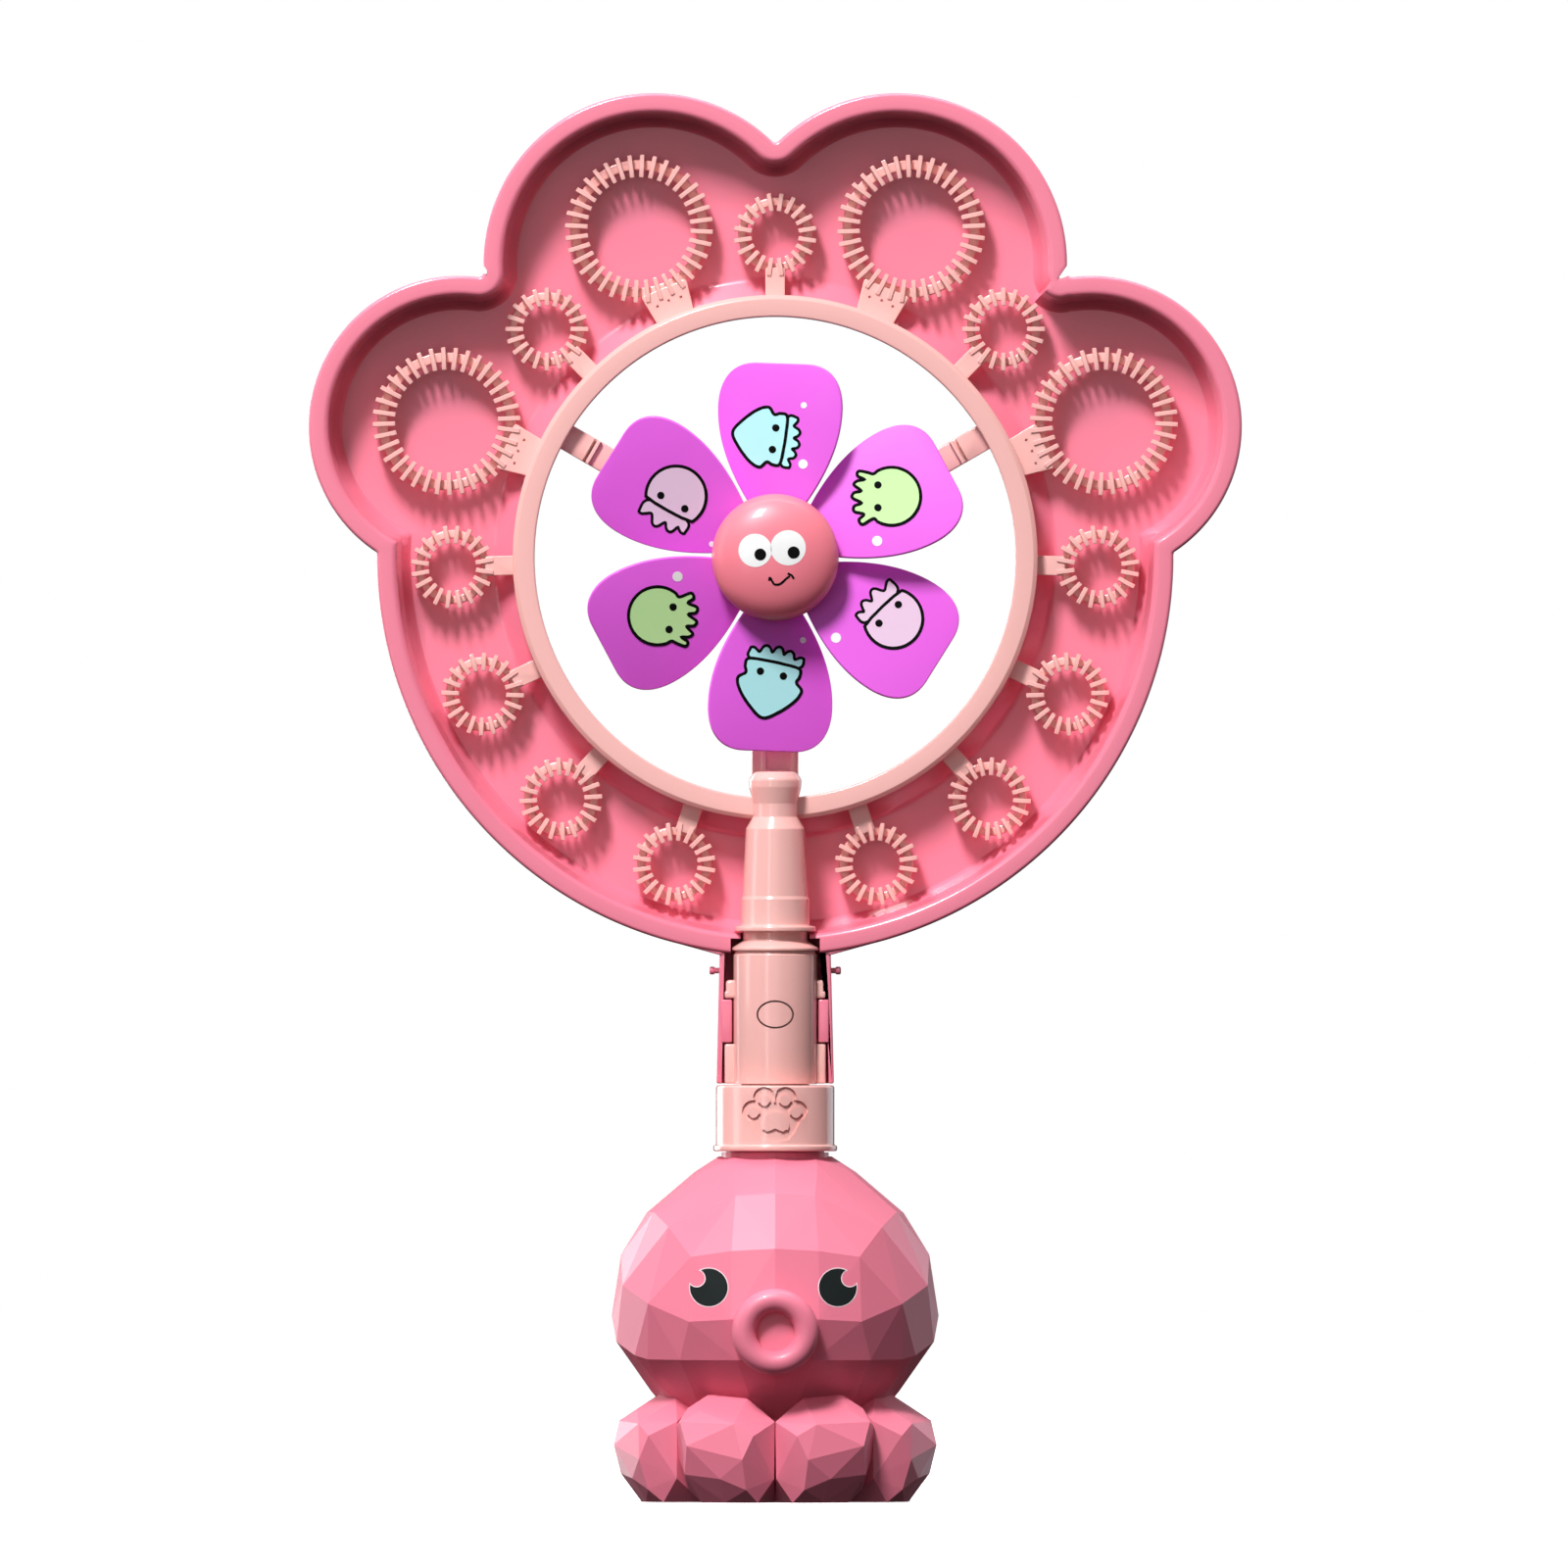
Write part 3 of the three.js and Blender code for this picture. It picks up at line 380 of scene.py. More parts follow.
def make(name, bm, material, crease=32):
    """A Blender object in metres from a bmesh in millimetres."""
    bmesh.ops.remove_doubles(bm, verts=bm.verts, dist=1e-4)
    bmesh.ops.recalc_face_normals(bm, faces=bm.faces)
    bm.transform(Matrix.Scale(MM, 4))
    mesh = bpy.data.meshes.new(name)
    bm.to_mesh(mesh)
    bm.free()
    made = put(name, mesh)
    if material:
        mesh.materials.append(material)
    smooth(made, crease)
    return made


def smooth(made, crease=32):
    mesh = made.data
    mesh.shade_smooth()
    mesh.set_sharp_from_angle(angle=math.radians(crease))


def revolve_z(radius, angle, height):
    return Vector((radius * math.cos(angle), radius * math.sin(angle), height))


def revolve_wheel(radius, angle, depth):
    """About the windmill's axis, with the angle counted from +X towards +Z."""
    return Vector((radius * math.cos(angle), depth, WHEEL_Z + radius * math.sin(angle)))


def lathe(bm, profile, steps, place=revolve_z):
    """A closed profile of (radius, height) points turned into a solid."""
    rings = []
    for k in range(steps):
        angle = 2 * math.pi * k / steps
        rings.append([bm.verts.new(place(max(r, 0), angle, h)) for r, h in profile])
    skin(bm, rings)
    return bm


def cylinder(radius, low, high):
    """The section of a plain cylinder."""
    return [Vector((0, low)), Vector((radius, low)), Vector((radius, high)), Vector((0, high))]


def skin(bm, rings, closed=True, index=0):
    """Quads between neighbouring rings, and from the last ring to the first if they close."""
    following = rings[1:] + (rings[:1] if closed else [])
    for one, two in zip(rings, following):
        for i in range(len(one)):
            j = (i + 1) % len(one)
            bm.faces.new((one[i], one[j], two[j], two[i])).material_index = index


def slab(bm, outline, front, back, edge=0.3, steps=3, place=None):
    """A plate in X and Z from front to back in Y, its edges rounded by the radius edge."""
    place = place or (lambda u, v, depth: Vector((u, depth, v)))
    levels = []
    for k in range(steps + 1):
        a = math.pi / 2 * k / steps
        levels.append((edge * (1 - math.sin(a)), front + edge * (1 - math.cos(a))))
    levels += [(shrink, back + front - depth) for shrink, depth in reversed(levels)]
    rings = []
    for shrink, depth in levels:
        rings.append([bm.verts.new(place(p.x, p.y, depth)) for p in inset(outline, shrink)])
    skin(bm, rings, closed=False)
    bm.faces.new(rings[0])
    bm.faces.new(reversed(rings[-1]))
    return bm


def sideways(u, v, depth):
    """Turns a plate to lie in Y and Z, its faces towards the sides."""
    return Vector((depth, u, v))


def block(bm, low, high, edge=0.3):
    """A box with rounded edges all round."""
    box = bmesh.ops.create_cube(bm, size=1)["verts"]
    size = [b - a for a, b in zip(low, high)]
    middle = [(a + b) / 2 for a, b in zip(low, high)]
    bmesh.ops.scale(bm, vec=size, verts=box)
    bmesh.ops.translate(bm, vec=middle, verts=box)
    edges = list({e for v in box for e in v.link_edges})
    if edge:
        bmesh.ops.bevel(bm, geom=edges, offset=edge, segments=3, affect="EDGES", profile=0.5)
    return bm


def rod(bm, radius, start, end, steps=32, edge=0.2):
    """A round rod between two points, with rounded ends."""
    start, end = Vector(start), Vector(end)
    turn = (end - start).to_track_quat("Z", "Y")
    length = (end - start).length
    profile = rounded([(0, 0, 0), (radius, 0, edge), (radius, length, edge), (0, length, 0)], 3)
    return lathe(bm, profile, steps, lambda r, a, h: start + turn @ revolve_z(r, a, h))


def bar(bm, radius, front, back, z, steps=32, edge=0.02):
    """A round rod along Y."""
    return rod(bm, radius, (0, front, z), (0, back, z), steps, edge)


def combine(target, cutter, operation="UNION"):
    """Applies a boolean between two objects and deletes the second one."""
    modifier = target.modifiers.new("combine", "BOOLEAN")
    modifier.operation = operation
    modifier.object = cutter
    modifier.solver = "MANIFOLD"
    mesh = bpy.data.meshes.new_from_object(target.evaluated_get(bpy.context.evaluated_depsgraph_get()))
    if len(mesh.polygons) < 4:
        raise RuntimeError(f"{target.name}: the {operation} with {cutter.name} left nothing")
    target.modifiers.clear()
    old = target.data
    target.data = mesh
    bpy.data.meshes.remove(old)
    bpy.data.objects.remove(cutter)
    return target


def tool(build, name="tool"):
    """An object drawn by a function that takes a bmesh."""
    bm = bmesh.new()
    build(bm)
    return make(name, bm, None)


def add(piece, build):
    return combine(piece, tool(build))


def cut(piece, build):
    return combine(piece, tool(build), "DIFFERENCE")


def finish(piece, material, body, slot, *nodes, crease=32):
    """Gives a piece its body, a material if it has none yet, and the CAD nodes it stands for; the slot is
    not used.
    """
    if material:
        piece.data.materials.clear()
        piece.data.materials.append(material)
    smooth(piece, crease)
    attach(piece, body)
    if nodes:
        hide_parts(*nodes)
    return piece


# ---- Tray ----


def paw_circles():
    """The tray's body and its lobes as circles, grown by the fillet of the notches."""
    lobes = [(d * math.cos(math.radians(a)), d * math.sin(math.radians(a)), r) for a, d, r in LOBES]
    circles = [(x, z, r + NOTCH_FILLET) for x, z, r in [(0, 0, BODY_R), *lobes, (0, 0, BODY_R)]]
    notches = [(one, two, outer_crossing(one, two)) for one, two in zip(circles, circles[1:])]
    return circles[:-1], notches


def outer_crossing(one, two):
    (x0, z0, r0), (x1, z1, r1) = one, two
    dx, dz = x1 - x0, z1 - z0
    span = math.hypot(dx, dz)
    along = (span * span + r0 * r0 - r1 * r1) / (2 * span)
    across = math.sqrt(r0 * r0 - along * along)
    middle = Vector((x0 + along * dx / span, z0 + along * dz / span))
    aside = Vector((-dz, dx)) * (across / span)
    return max((middle + aside, middle - aside), key=lambda p: p.length)


PAW_CIRCLES, PAW_NOTCHES = paw_circles()


def paw_radius(angle, shrink):
    """Distance from the paw's centre to its outline moved inwards by shrink."""
    move = shrink + NOTCH_FILLET
    ray = Vector((math.cos(angle), math.sin(angle)))
    for one, two, notch in PAW_NOTCHES:
        ends = []
        for x, z, _ in (one, two):
            end = notch + (Vector((x, z)) - notch).normalized() * move
            ends.append(math.atan2(end.y, end.x))
        low, high = sorted(ends)
        turned = angle
        if high - low < math.pi and angle > math.pi:
            turned -= 2 * math.pi
        across = notch.x * ray.y - notch.y * ray.x
        if low < turned < high and abs(across) < move:
            return notch.dot(ray) - math.sqrt(move * move - across * across)
    best = 0
    for x, z, r in PAW_CIRCLES:
        across = x * ray.y - z * ray.x
        left = (r - move) ** 2 - across * across
        if left > 0:
            best = max(best, x * ray.x + z * ray.y + math.sqrt(left))
    return best


def tray_profile():
    """Section of the dish. Radii over 80 follow the paw as BODY_R less the inset, the others are circles."""
    front = TRAY_LOW.y
    back = TRAY_HIGH.y
    return rounded(
        [
            (BODY_R, front, 0.9), (BODY_R - 5, front, 1.6), (BODY_R - 6.6, 12.0, 0),
            (BODY_R - 7.2, 14.0, 4.5), (71.2, 14.0, 3), (66.8, 10.9, 1.5), (65.2, 10.9, 0.3),
            (65.2, 5, 0.5), (63.5, 5, 0.5), (63.5, back, 0.8), (BODY_R - 8.8, back, 5),
            (BODY_R - 4.2, 4, 0), (BODY_R - 3.7, 0.1, 0.8), (BODY_R, 0.1, 0.6),
        ],
        6,
    )


def tray_dish(bm):
    rings = []
    profile = tray_profile()
    for k in range(TRAY_STEPS):
        angle = 2 * math.pi * k / TRAY_STEPS
        radii = [paw_radius(angle, BODY_R - p.x) if p.x > 80 else p.x for p in profile]
        rings.append([bm.verts.new(revolve_wheel(r, angle, p.y)) for r, p in zip(radii, profile)])
    skin(bm, rings)


def channel_outline(shrink, bottom, top):
    low_half, high_half = CHANNEL_HALF_BOTTOM - shrink, CHANNEL_HALF_TOP - shrink
    corners = [(-low_half, bottom), (low_half, bottom), (high_half, top), (-high_half, top)]
    return rounded([(*corner, 0.5) for corner in corners], 3)


def make_tray():
    tray = tool(tray_dish, "tray_shell")
    bottom = TRAY_LOW.z
    channel = tool(lambda bm: slab(bm, channel_outline(0, bottom, CHANNEL_TOP_Z), -1, CHANNEL_BACK_Y, 0.5))
    wall_top = WHEEL_Z - BODY_R + 2.6
    hollow = channel_outline(CHANNEL_WALL, bottom - 5, wall_top)
    cut(channel, lambda bm: slab(bm, hollow, -4, CHANNEL_FLOOR_Y, 0.6))
    combine(tray, channel)
    closer = rounded([(y, z, 0.3) for y, z in CLOSER], 3)
    half = CHANNEL_HALF_TOP - 0.1
    add(tray, lambda bm: slab(bm, closer, -half, half, 0.2, 3, sideways))
    for side in (-1, 1):
        ledge = rounded([(side * x, z, 0.5) for x, z in GUSSET], 3)
        add(tray, lambda bm: slab(bm, ledge, -1.4, -0.2, 0.3))
    for low, high, radius in PASSAGE:
        cut(tray, lambda bm: lathe(bm, cylinder(radius, low, high), 96))
        front = (-radius, TRAY_LOW.y - 5, low)
        cut(tray, lambda bm: block(bm, front, (radius, 0, high), edge=0))
    for side in (-1, 1):
        add(tray, lambda bm: stud(bm, side))
        x0, x1 = sorted((side * DETENT_TIP, side * (CHANNEL_HALF_TOP - 0.4)))
        add(tray, lambda bm: block(bm, (x0, -1.4, DETENT_Z[0]), (x1, 3, DETENT_Z[1]), 0.4))
    return finish(tray, TRAY_PINK, "tray", "tray_pink", "tray", crease=38)


def stud(bm, side):
    """A small round-headed stud on the side of the channel."""
    root = (side * (CHANNEL_HALF_TOP - 0.6), STUD_Y, STUD_Z)
    rod(bm, 0.7, root, (side * (STUD_REACH - 0.4), STUD_Y, STUD_Z), 20, 0.1)
    neck = STUD_REACH - 1.5
    profile = rounded([(0, 0, 0), (1.0, 0, 0.6), (1.0, 1.5, 0.8), (0, 1.5, 0)], 4)

    def place(r, a, h):
        return Vector((side * (neck + h), STUD_Y + r * math.cos(a), STUD_Z + r * math.sin(a)))

    lathe(bm, profile, 20, place)


# ---- Bubble ring ----


def on_wheel(angle, along, across, depth):
    """A point by its place along and across a spoke of the wheel."""
    a = math.radians(angle)
    x = along * math.cos(a) - across * math.sin(a)
    z = along * math.sin(a) + across * math.cos(a)
    return Vector((x, depth, WHEEL_Z + z))


def ribbed_loop(bm, spec, spoke):
    """A thin band with round-ended ribs across it, the shape that holds a film of solution."""

    def section(inner, outer, front, back, edge):
        corners = [(inner, front, edge), (outer, front, edge), (outer, back, edge), (inner, back, edge)]
        return rounded(corners, 3)

    front, back = LOOP_Y
    tip_in, tip_out = spec["tip"]
    half = RIB_WIDTH / 2
    band = section(*spec["band"], front + 2.2, back - 0.3, 0.4)
    columns = [(-half, band)]
    for share, drop in ((-1, 0.15), (-0.75, 0), (0.75, 0), (1, 0.15)):
        tip = section(tip_in + drop, tip_out - drop, front + drop, back - drop, 0.18)
        columns.append((share * half, tip))
    columns.append((half, band))
    rings = []
    for k in range(spec["ribs"]):
        a = 2 * math.pi * (k + 0.5) / spec["ribs"]
        turns = [(a, across, profile) for across, profile in columns]
        turns.append((a + math.pi / spec["ribs"], 0, band))
        for turn, across, profile in turns:
            ring = []
            for p in profile:
                u = p.x * math.cos(turn) - across * math.sin(turn)
                v = p.x * math.sin(turn) + across * math.cos(turn)
                ring.append(bm.verts.new(on_wheel(spoke, spec["reach"] + u, v, p.y)))
            rings.append(ring)
    skin(bm, rings)


def spoke_plate(bm, spoke, start, end, width_start, width_end, front, back, edge=0.25):
    """A plate that runs outwards along a spoke."""
    half_start, half_end = width_start / 2, width_end / 2
    corners = [(start, -half_start, 0.1), (end, -half_end, 0.6)]
    corners += [(end, half_end, 0.6), (start, half_start, 0.1)]
    outline = rounded(corners, 3)
    slab(bm, outline, front, back, edge, 3, lambda u, v, depth: on_wheel(spoke, u, v, depth))


def all_loops(bm):
    for spec, angles in ((SMALL_LOOP, SMALL_ANGLES), (BIG_LOOP, BIG_ANGLES)):
        for angle in angles:
            ribbed_loop(bm, spec, angle)


def all_stems(bm):
    for spec, angles in ((SMALL_LOOP, SMALL_ANGLES), (BIG_LOOP, BIG_ANGLES)):
        end = spec["reach"] - sum(spec["band"]) / 2
        for angle in angles:
            spoke_plate(bm, angle, RING_OUTER - 0.6, end, *spec["stem"], *STEM_Y)


def stem_dots(bm):
    """Three small vent holes across the wide end of each big stem."""
    along = BIG_LOOP["reach"] - BIG_LOOP["tip"][1] - 0.9
    for angle in BIG_ANGLES:
        for across in (-3.2, 0, 3.2):
            start = on_wheel(angle, along - abs(across) * 0.1, across, STEM_Y[0] - 1)
            rod(bm, 0.36, start, start + Vector((0, 1.8, 0)), 12, 0.05)


def ring_body(bm):
    front, back = RING_LOW.y, 10
    corners = [
        (RING_INNER, front, 0.5), (RING_OUTER - 1.1, front, 0.3), (RING_OUTER, front + 0.7, 0.5),
        (RING_OUTER, back, 0.3), (RING_OUTER - 1, back, 0.3), (RING_OUTER - 1, front + 1.6, 0.3),
        (RING_INNER + 1, front + 1.6, 0.3), (RING_INNER + 1, back, 0.3), (RING_INNER, back, 0.3),
    ]
    lathe(bm, rounded(corners, 4), 288, revolve_wheel)


def ring_stubs(bm):
    for angle in (30, 150):
        spoke_plate(bm, angle, 54.8, RING_INNER + 0.5, 6.7, 6.7, 6, 8.2)


def make_bubble_ring():
    ring = tool(ring_body, "bubble_ring_moulding")
    add(ring, all_stems)
    add(ring, all_loops)
    add(ring, ring_stubs)
    cut(ring, stem_dots)
    tang_top = WHEEL_Z - RING_OUTER + 1
    add(ring, lambda bm: block(bm, (-3.5, 2, RING_LOW.z), (3.5, 4.2, tang_top), 0.3))
    return finish(ring, PEACH, "wand", "wand_peach", "bubble_ring", crease=40)


# ---- Handle, collar, button and bracket ----


def handle_profile():
    bottom = HANDLE_LOW.z
    top = HANDLE_HIGH.z
    outer = [
        (10.65, bottom, 0.3), (10.65, 139.5, 0.4), (10.3, 139.7, 0.1), (10.3, 140.4, 0.1),
        (11, 140.5, 0.25), (11, 141.2, 0.3), (8.25, 143, 0.5), (8.2, 145.4, 0.3),
        (10.35, 145.4, 0.3), (10.35, 146.7, 0.5), (8.8, 146.9, 0.4), (8.7, 153.6, 0.5),
        (8.35, 154.4, 0.5), (7.5, 171.6, 1.2), (5.7, 174.6, 0.9), (5.65, 178, 2), (6.6, 182.2, 2),
        (6.7, 184.2, 1.5), (5.2, top, 1.4), (0, top, 0),
    ]
    hollow = [
        (0, 184.6, 0), (4.2, 184.6, 0.2), (4.2, 174.6, 0.5), (5.8, 172.6, 0.5), (6.9, 147, 1),
        (6.9, 143, 1), (9.05, 139.4, 1), (9.05, bottom, 0.2),
    ]
    return rounded(outer + hollow, 5)


def handle_tube():
    tube = tool(lambda bm: lathe(bm, handle_profile(), 144))
    for side in (-1, 1):
        rails = [
            (RAIL_REACH + 0.3, HANDLE_LOW.z + 0.15, DETENT_Z[0] - GAP, 0.5),
            (RAIL_REACH, DETENT_Z[1] + GAP, 133, 0.9),
            (RAIL_REACH + 0.3, DETENT_Z[1] + GAP, DETENT_Z[1] + 2.2, 0.5),
        ]
        for reach, low, high, edge in rails:
            x0, x1 = sorted((side * 9.9, side * reach))
            add(tube, lambda bm: block(bm, (x0, -1.2, low), (x1, 1.2, high), edge))
    return tube


def make_front_shell():
    shell = handle_tube()
    shell.name = "handle_front_moulding"
    keep = tool(lambda bm: block(bm, (-20, -20, 100), (20, -GAP / 2, 173.5), 0))
    add(keep, lambda bm: block(bm, (-20, -20, 173.3), (20, 1.6, 190), 0))
    combine(shell, keep, "INTERSECT")
    hole = ellipse(0, BUTTON_Z, 4.45 + GAP, 3.3 + GAP)
    cut(shell, lambda bm: slab(bm, hole, -12, -5, 0))
    cut(shell, lambda bm: block(bm, (-4.1, 0, 181.3), (4.1, 9, 184.6), 0))
    return finish(shell, PEACH, "wand", "wand_peach", "handle_front_shell", crease=40)


def make_rear_shell():
    shell = handle_tube()
    shell.name = "handle_rear_moulding"
    keep = tool(lambda bm: block(bm, (-20, GAP / 2, 100), (20, 20, 172.9), 0))
    combine(shell, keep, "INTERSECT")
    screws = [(2.7, NECK_SCREW_Z, 0), (2.7, HANDLE_SCREW_Z, 9.8), (1.5, HANDLE_SCREW_Z, 0)]
    for radius, z, start in [*screws, (2.1, BUTTON_Z, 0)]:
        cut(shell, lambda bm: bar(bm, radius, start, 14, z))
    return finish(shell, PEACH, "wand", "wand_peach", "handle_rear_shell", crease=40)


COLLAR_TOES = [(-2.8, 13.6, 35, 175), (2.6, 13.6, 5, 145), (-5.6, 10.2, 75, 190), (5.4, 10.2, -10, 105)]
TOE_PADS = [(-2.75, 12.85), (2.55, 12.85), (-5.5, 9.8), (5.3, 9.8)]


def collar_paw():
    """The paw on the collar as flat outlines: what is sunk, the pads left standing, and the fine grooves."""
    z = COLLAR_LOW.z
    palm = mirrored([(-7, 9.2), (-6.2, 7.1), (-5, 4.8), (-3.6, 3), (0, 2.2)])
    palm += [(4.5, 11.8), (0, 12.6), (-4.5, 11.8)]
    sunk = [rounded([(x, z + up, 0.8) for x, up in palm], 4)]
    sunk += [ellipse(x, z + up, 2.6, 2.6) for x, up, _, _ in COLLAR_TOES]
    pad = mirrored([(-3.5, 6.9), (-3.1, 5.4), (-2, 4.8), (-0.9, 5.2), (0, 5.6)])
    lower_edge = [Vector((x, z + up)) for x, up in pad[1:-1]]
    pad += [(2.4, 9.3), (0, 10.1), (-2.4, 9.3)]
    pads = [ellipse(x, z + up, 1.6, 1.6) for x, up in TOE_PADS]
    pads.append(smooth_closed([(x, z + up) for x, up in pad]))
    lines = [arc(x, z + up, 2.6, first, last) for x, up, first, last in COLLAR_TOES]
    lines += [arc(x, z + up, 1.5, 200, 350) for x, up in TOE_PADS] + [lower_edge]
    grooves = []
    for line in lines:
        left, right = stroke(line, 0.5)
        grooves.append(left + right[::-1])
    return sunk, pads, grooves


def shallow(cutter, radius):
    """Keeps only what a cutter removes outside a radius, so that it cuts a cylinder to an even depth."""
    return cut(cutter, lambda bm: lathe(bm, cylinder(radius, 80, 115), 192))


def make_collar():
    low, high = COLLAR_LOW.z, 106.15
    outer = COLLAR_HIGH.x - 0.7
    corners = [
        (0, 104.6, 0), (13.95, 104.6, 0.3), (13.95, low, 0.2), (COLLAR_HIGH.x, low, 0.5),
        (COLLAR_HIGH.x, low + 1.45, 0.6), (outer, low + 1.5, 0.4), (outer, high, 0.7),
        (8.6, high, 0.2), (8.6, COLLAR_HIGH.z, 0.3), (7.1, COLLAR_HIGH.z, 0.3), (7.1, high, 0.2),
        (0, high, 0),
    ]
    collar = tool(lambda bm: lathe(bm, rounded(corners, 4), 192), "collar_moulding")
    sunk, pads, grooves = collar_paw()
    paw = tool(lambda bm: slab(bm, sunk[0], -17, -12, 0))
    for i, outline in enumerate(sunk[1:], 1):
        add(paw, lambda bm: slab(bm, outline, -17 - 0.02 * i, -12 + 0.02 * i, 0))
    for outline in pads:
        cut(paw, lambda bm: slab(bm, outline, -18, -11, 0))
    combine(collar, shallow(paw, outer - 0.55), "DIFFERENCE")
    for outline in grooves:
        line = tool(lambda bm: slab(bm, outline, -17, -12, 0))
        combine(collar, shallow(line, outer - 0.85), "DIFFERENCE")
    return finish(collar, PEACH, "wand", "wand_peach", "collar_cap", crease=35)


def make_button():
    """The oval button, its face curved with the handle, on a rod that reaches the back."""
    oval = ellipse(0, BUTTON_Z, 4.3, 3.15, 96)
    face = tool(lambda bm: slab(bm, oval, -12, -6.4, 0), "release_button_moulding")
    combine(face, tool(lambda bm: lathe(bm, cylinder(10.6, BUTTON_Z - 10, BUTTON_Z + 10), 192)), "INTERSECT")
    add(face, lambda bm: slab(bm, ellipse(0, BUTTON_Z, 5.4, 4.25), -6.9, -5.9, 0.2))
    add(face, lambda bm: bar(bm, 1.8, -6.2, BUTTON_HIGH.y, BUTTON_Z, 32, 0.4))
    return finish(face, PEACH, "button", "wand_peach", "release_button", crease=40)


# Each plate of an arm: start and end along the arm, front, back and edge.
BRACKET_ARM = [(4, 54, 5.6, 7.8, 0.4), (53, 54.2, 4.4, 9.8, 0.3), (53.3, 59.4, 8.6, 9.8, 0.3)]


def make_bracket():
    """Three-armed carrier of the windmill's axle."""
    side = [(-1.1, 150, 0.4), (1.3, 150, 0.4), (1.3, 181.9, 0.3), (7.6, 181.9, 0.4), (7.6, 188.3, 0.3)]
    side += [(5.2, 188.3, 0.3), (5.2, 184.3, 0.3), (-1.1, 184.3, 0.4)]
    post = rounded(side, 3)
    bracket = tool(lambda bm: slab(bm, post, -3.7, 3.7, 0.3, 3, sideways), "fan_bracket_moulding")
    add(bracket, lambda bm: block(bm, (-5.9, 5.2, 181.9), (5.9, 7.6, WHEEL_Z), 0.5))
    cut(bracket, lambda bm: block(bm, (-2.4, 4, 186.6), (4.4, 6.2, WHEEL_Z - 5), 0.3))
    add(bracket, lambda bm: bar(bm, 6.5, 3.8, 9.2, WHEEL_Z, 64, 0.5))
    for angle in (30, 150):
        for start, end, *depths in BRACKET_ARM:
            add(bracket, lambda bm: spoke_plate(bm, angle, start, end, 6.7, 6.7, *depths))
    cut(bracket, lambda bm: bar(bm, 1.8, 0, 12, WHEEL_Z))
    return finish(bracket, PEACH, "wand", "wand_peach", "fan_bracket", crease=40)


# ---- Windmill ----


def petal_outline():
    """One petal pointing up from the hub, narrow at the root and blunt at the tip."""

    def bezier(p0, p1, p2, p3, steps=18):
        points = []
        for k in range(steps):
            t = k / steps
            point = (1 - t) ** 3 * Vector(p0) + 3 * t * (1 - t) ** 2 * Vector(p1)
            points.append(point + 3 * t * t * (1 - t) * Vector(p2) + t**3 * Vector(p3))
        return points

    right = [Vector((2.5, 6)), Vector((2.5, 9.6))]
    right += bezier((6.4, 12.2), (9.4, 16.4), (16.4, 26.5), (16.4, 38))
    right += bezier((16.4, 38), (16.4, 44.5), (13.4, 49.5), (6.5, 49.5)) + [Vector((6.5, 49.5))]
    return right + [Vector((-p.x, p.y)) for p in reversed(right)]


def petal_place(index):
    turn = math.radians(FAN_TURN + 360 / PETALS * index)
    pitch = Matrix.Rotation(math.radians(-PETAL_PITCH), 4, "Z")
    return Matrix.Translation((0, FAN_Y, WHEEL_Z)) @ Matrix.Rotation(-turn, 4, "Y") @ pitch


def make_petal(index):
    bm = bmesh.new()
    slab(bm, petal_outline(), -PETAL_THICK / 2, PETAL_THICK / 2, 0.35, 4)
    bm.transform(petal_place(index))
    petal = make(f"petal_blade_{index + 1}", bm, MAGENTA)
    return finish(petal, None, "windmill", "petal_magenta", f"petal_{index + 1}")


def make_hub_base():
    corners = [(0, -9.2, 0), (9.2, -9.2, 0.3), (9.2, 0.9, 0.4), (14, 0.9, 0.5), (14, 2.4, 0.6), (0, 2.4, 0)]
    base = tool(lambda bm: lathe(bm, rounded(corners, 4), 96, revolve_wheel), "hub_base_moulding")
    for index in range(PETALS):
        half = PETAL_THICK / 2 + GAP
        slot = tool(lambda bm: block(bm, (-2.8, -half, 5.6), (2.8, half, 10), 0))
        slot.data.transform(Matrix.Scale(MM, 4) @ petal_place(index) @ Matrix.Scale(1 / MM, 4))
        combine(base, slot, "DIFFERENCE")
    cut(base, lambda bm: bar(bm, 1.9, -12, 6, WHEEL_Z))
    return finish(base, MAGENTA, "windmill", "petal_magenta", "hub_base", crease=40)


HUB_RIM_Y = HUB_HIGH.y - 2.4
HUB_BULGE = 2.35


def hub_depth(radius):
    """Depth of the hub cap's face at a radius: a flattened dome."""
    height = HUB_RIM_Y - HUB_LOW.y
    share = min(1, abs(radius) / HUB_R)
    return HUB_RIM_Y - height * (1 - share**HUB_BULGE) ** (1 / HUB_BULGE)


def make_hub_cap():
    height = HUB_RIM_Y - HUB_LOW.y
    outer = []
    for k in range(33):
        a = math.pi / 2 * k / 32
        spread = math.cos(a) ** (2 / HUB_BULGE) if k < 32 else 0
        rise = height * math.sin(a) ** (2 / HUB_BULGE)
        outer.append(Vector((HUB_R * spread, HUB_RIM_Y - rise)))
    wall = 1.6
    inner = [Vector((max(0, p.x - wall * (p.x > 0)), p.y + wall)) for p in reversed(outer)]
    inner = [p for p in inner if p.y < HUB_HIGH.y - 1] + [Vector((HUB_R - wall, HUB_HIGH.y))]
    rim = [Vector((HUB_R - 0.5, HUB_HIGH.y)), Vector((HUB_R - 0.1, HUB_HIGH.y - 0.4))]
    cap = tool(lambda bm: lathe(bm, outer + inner + rim, 128, revolve_wheel), "hub_cap_moulding")
    return finish(cap, CORAL, "windmill", "hub_coral", "hub_cap", crease=50)


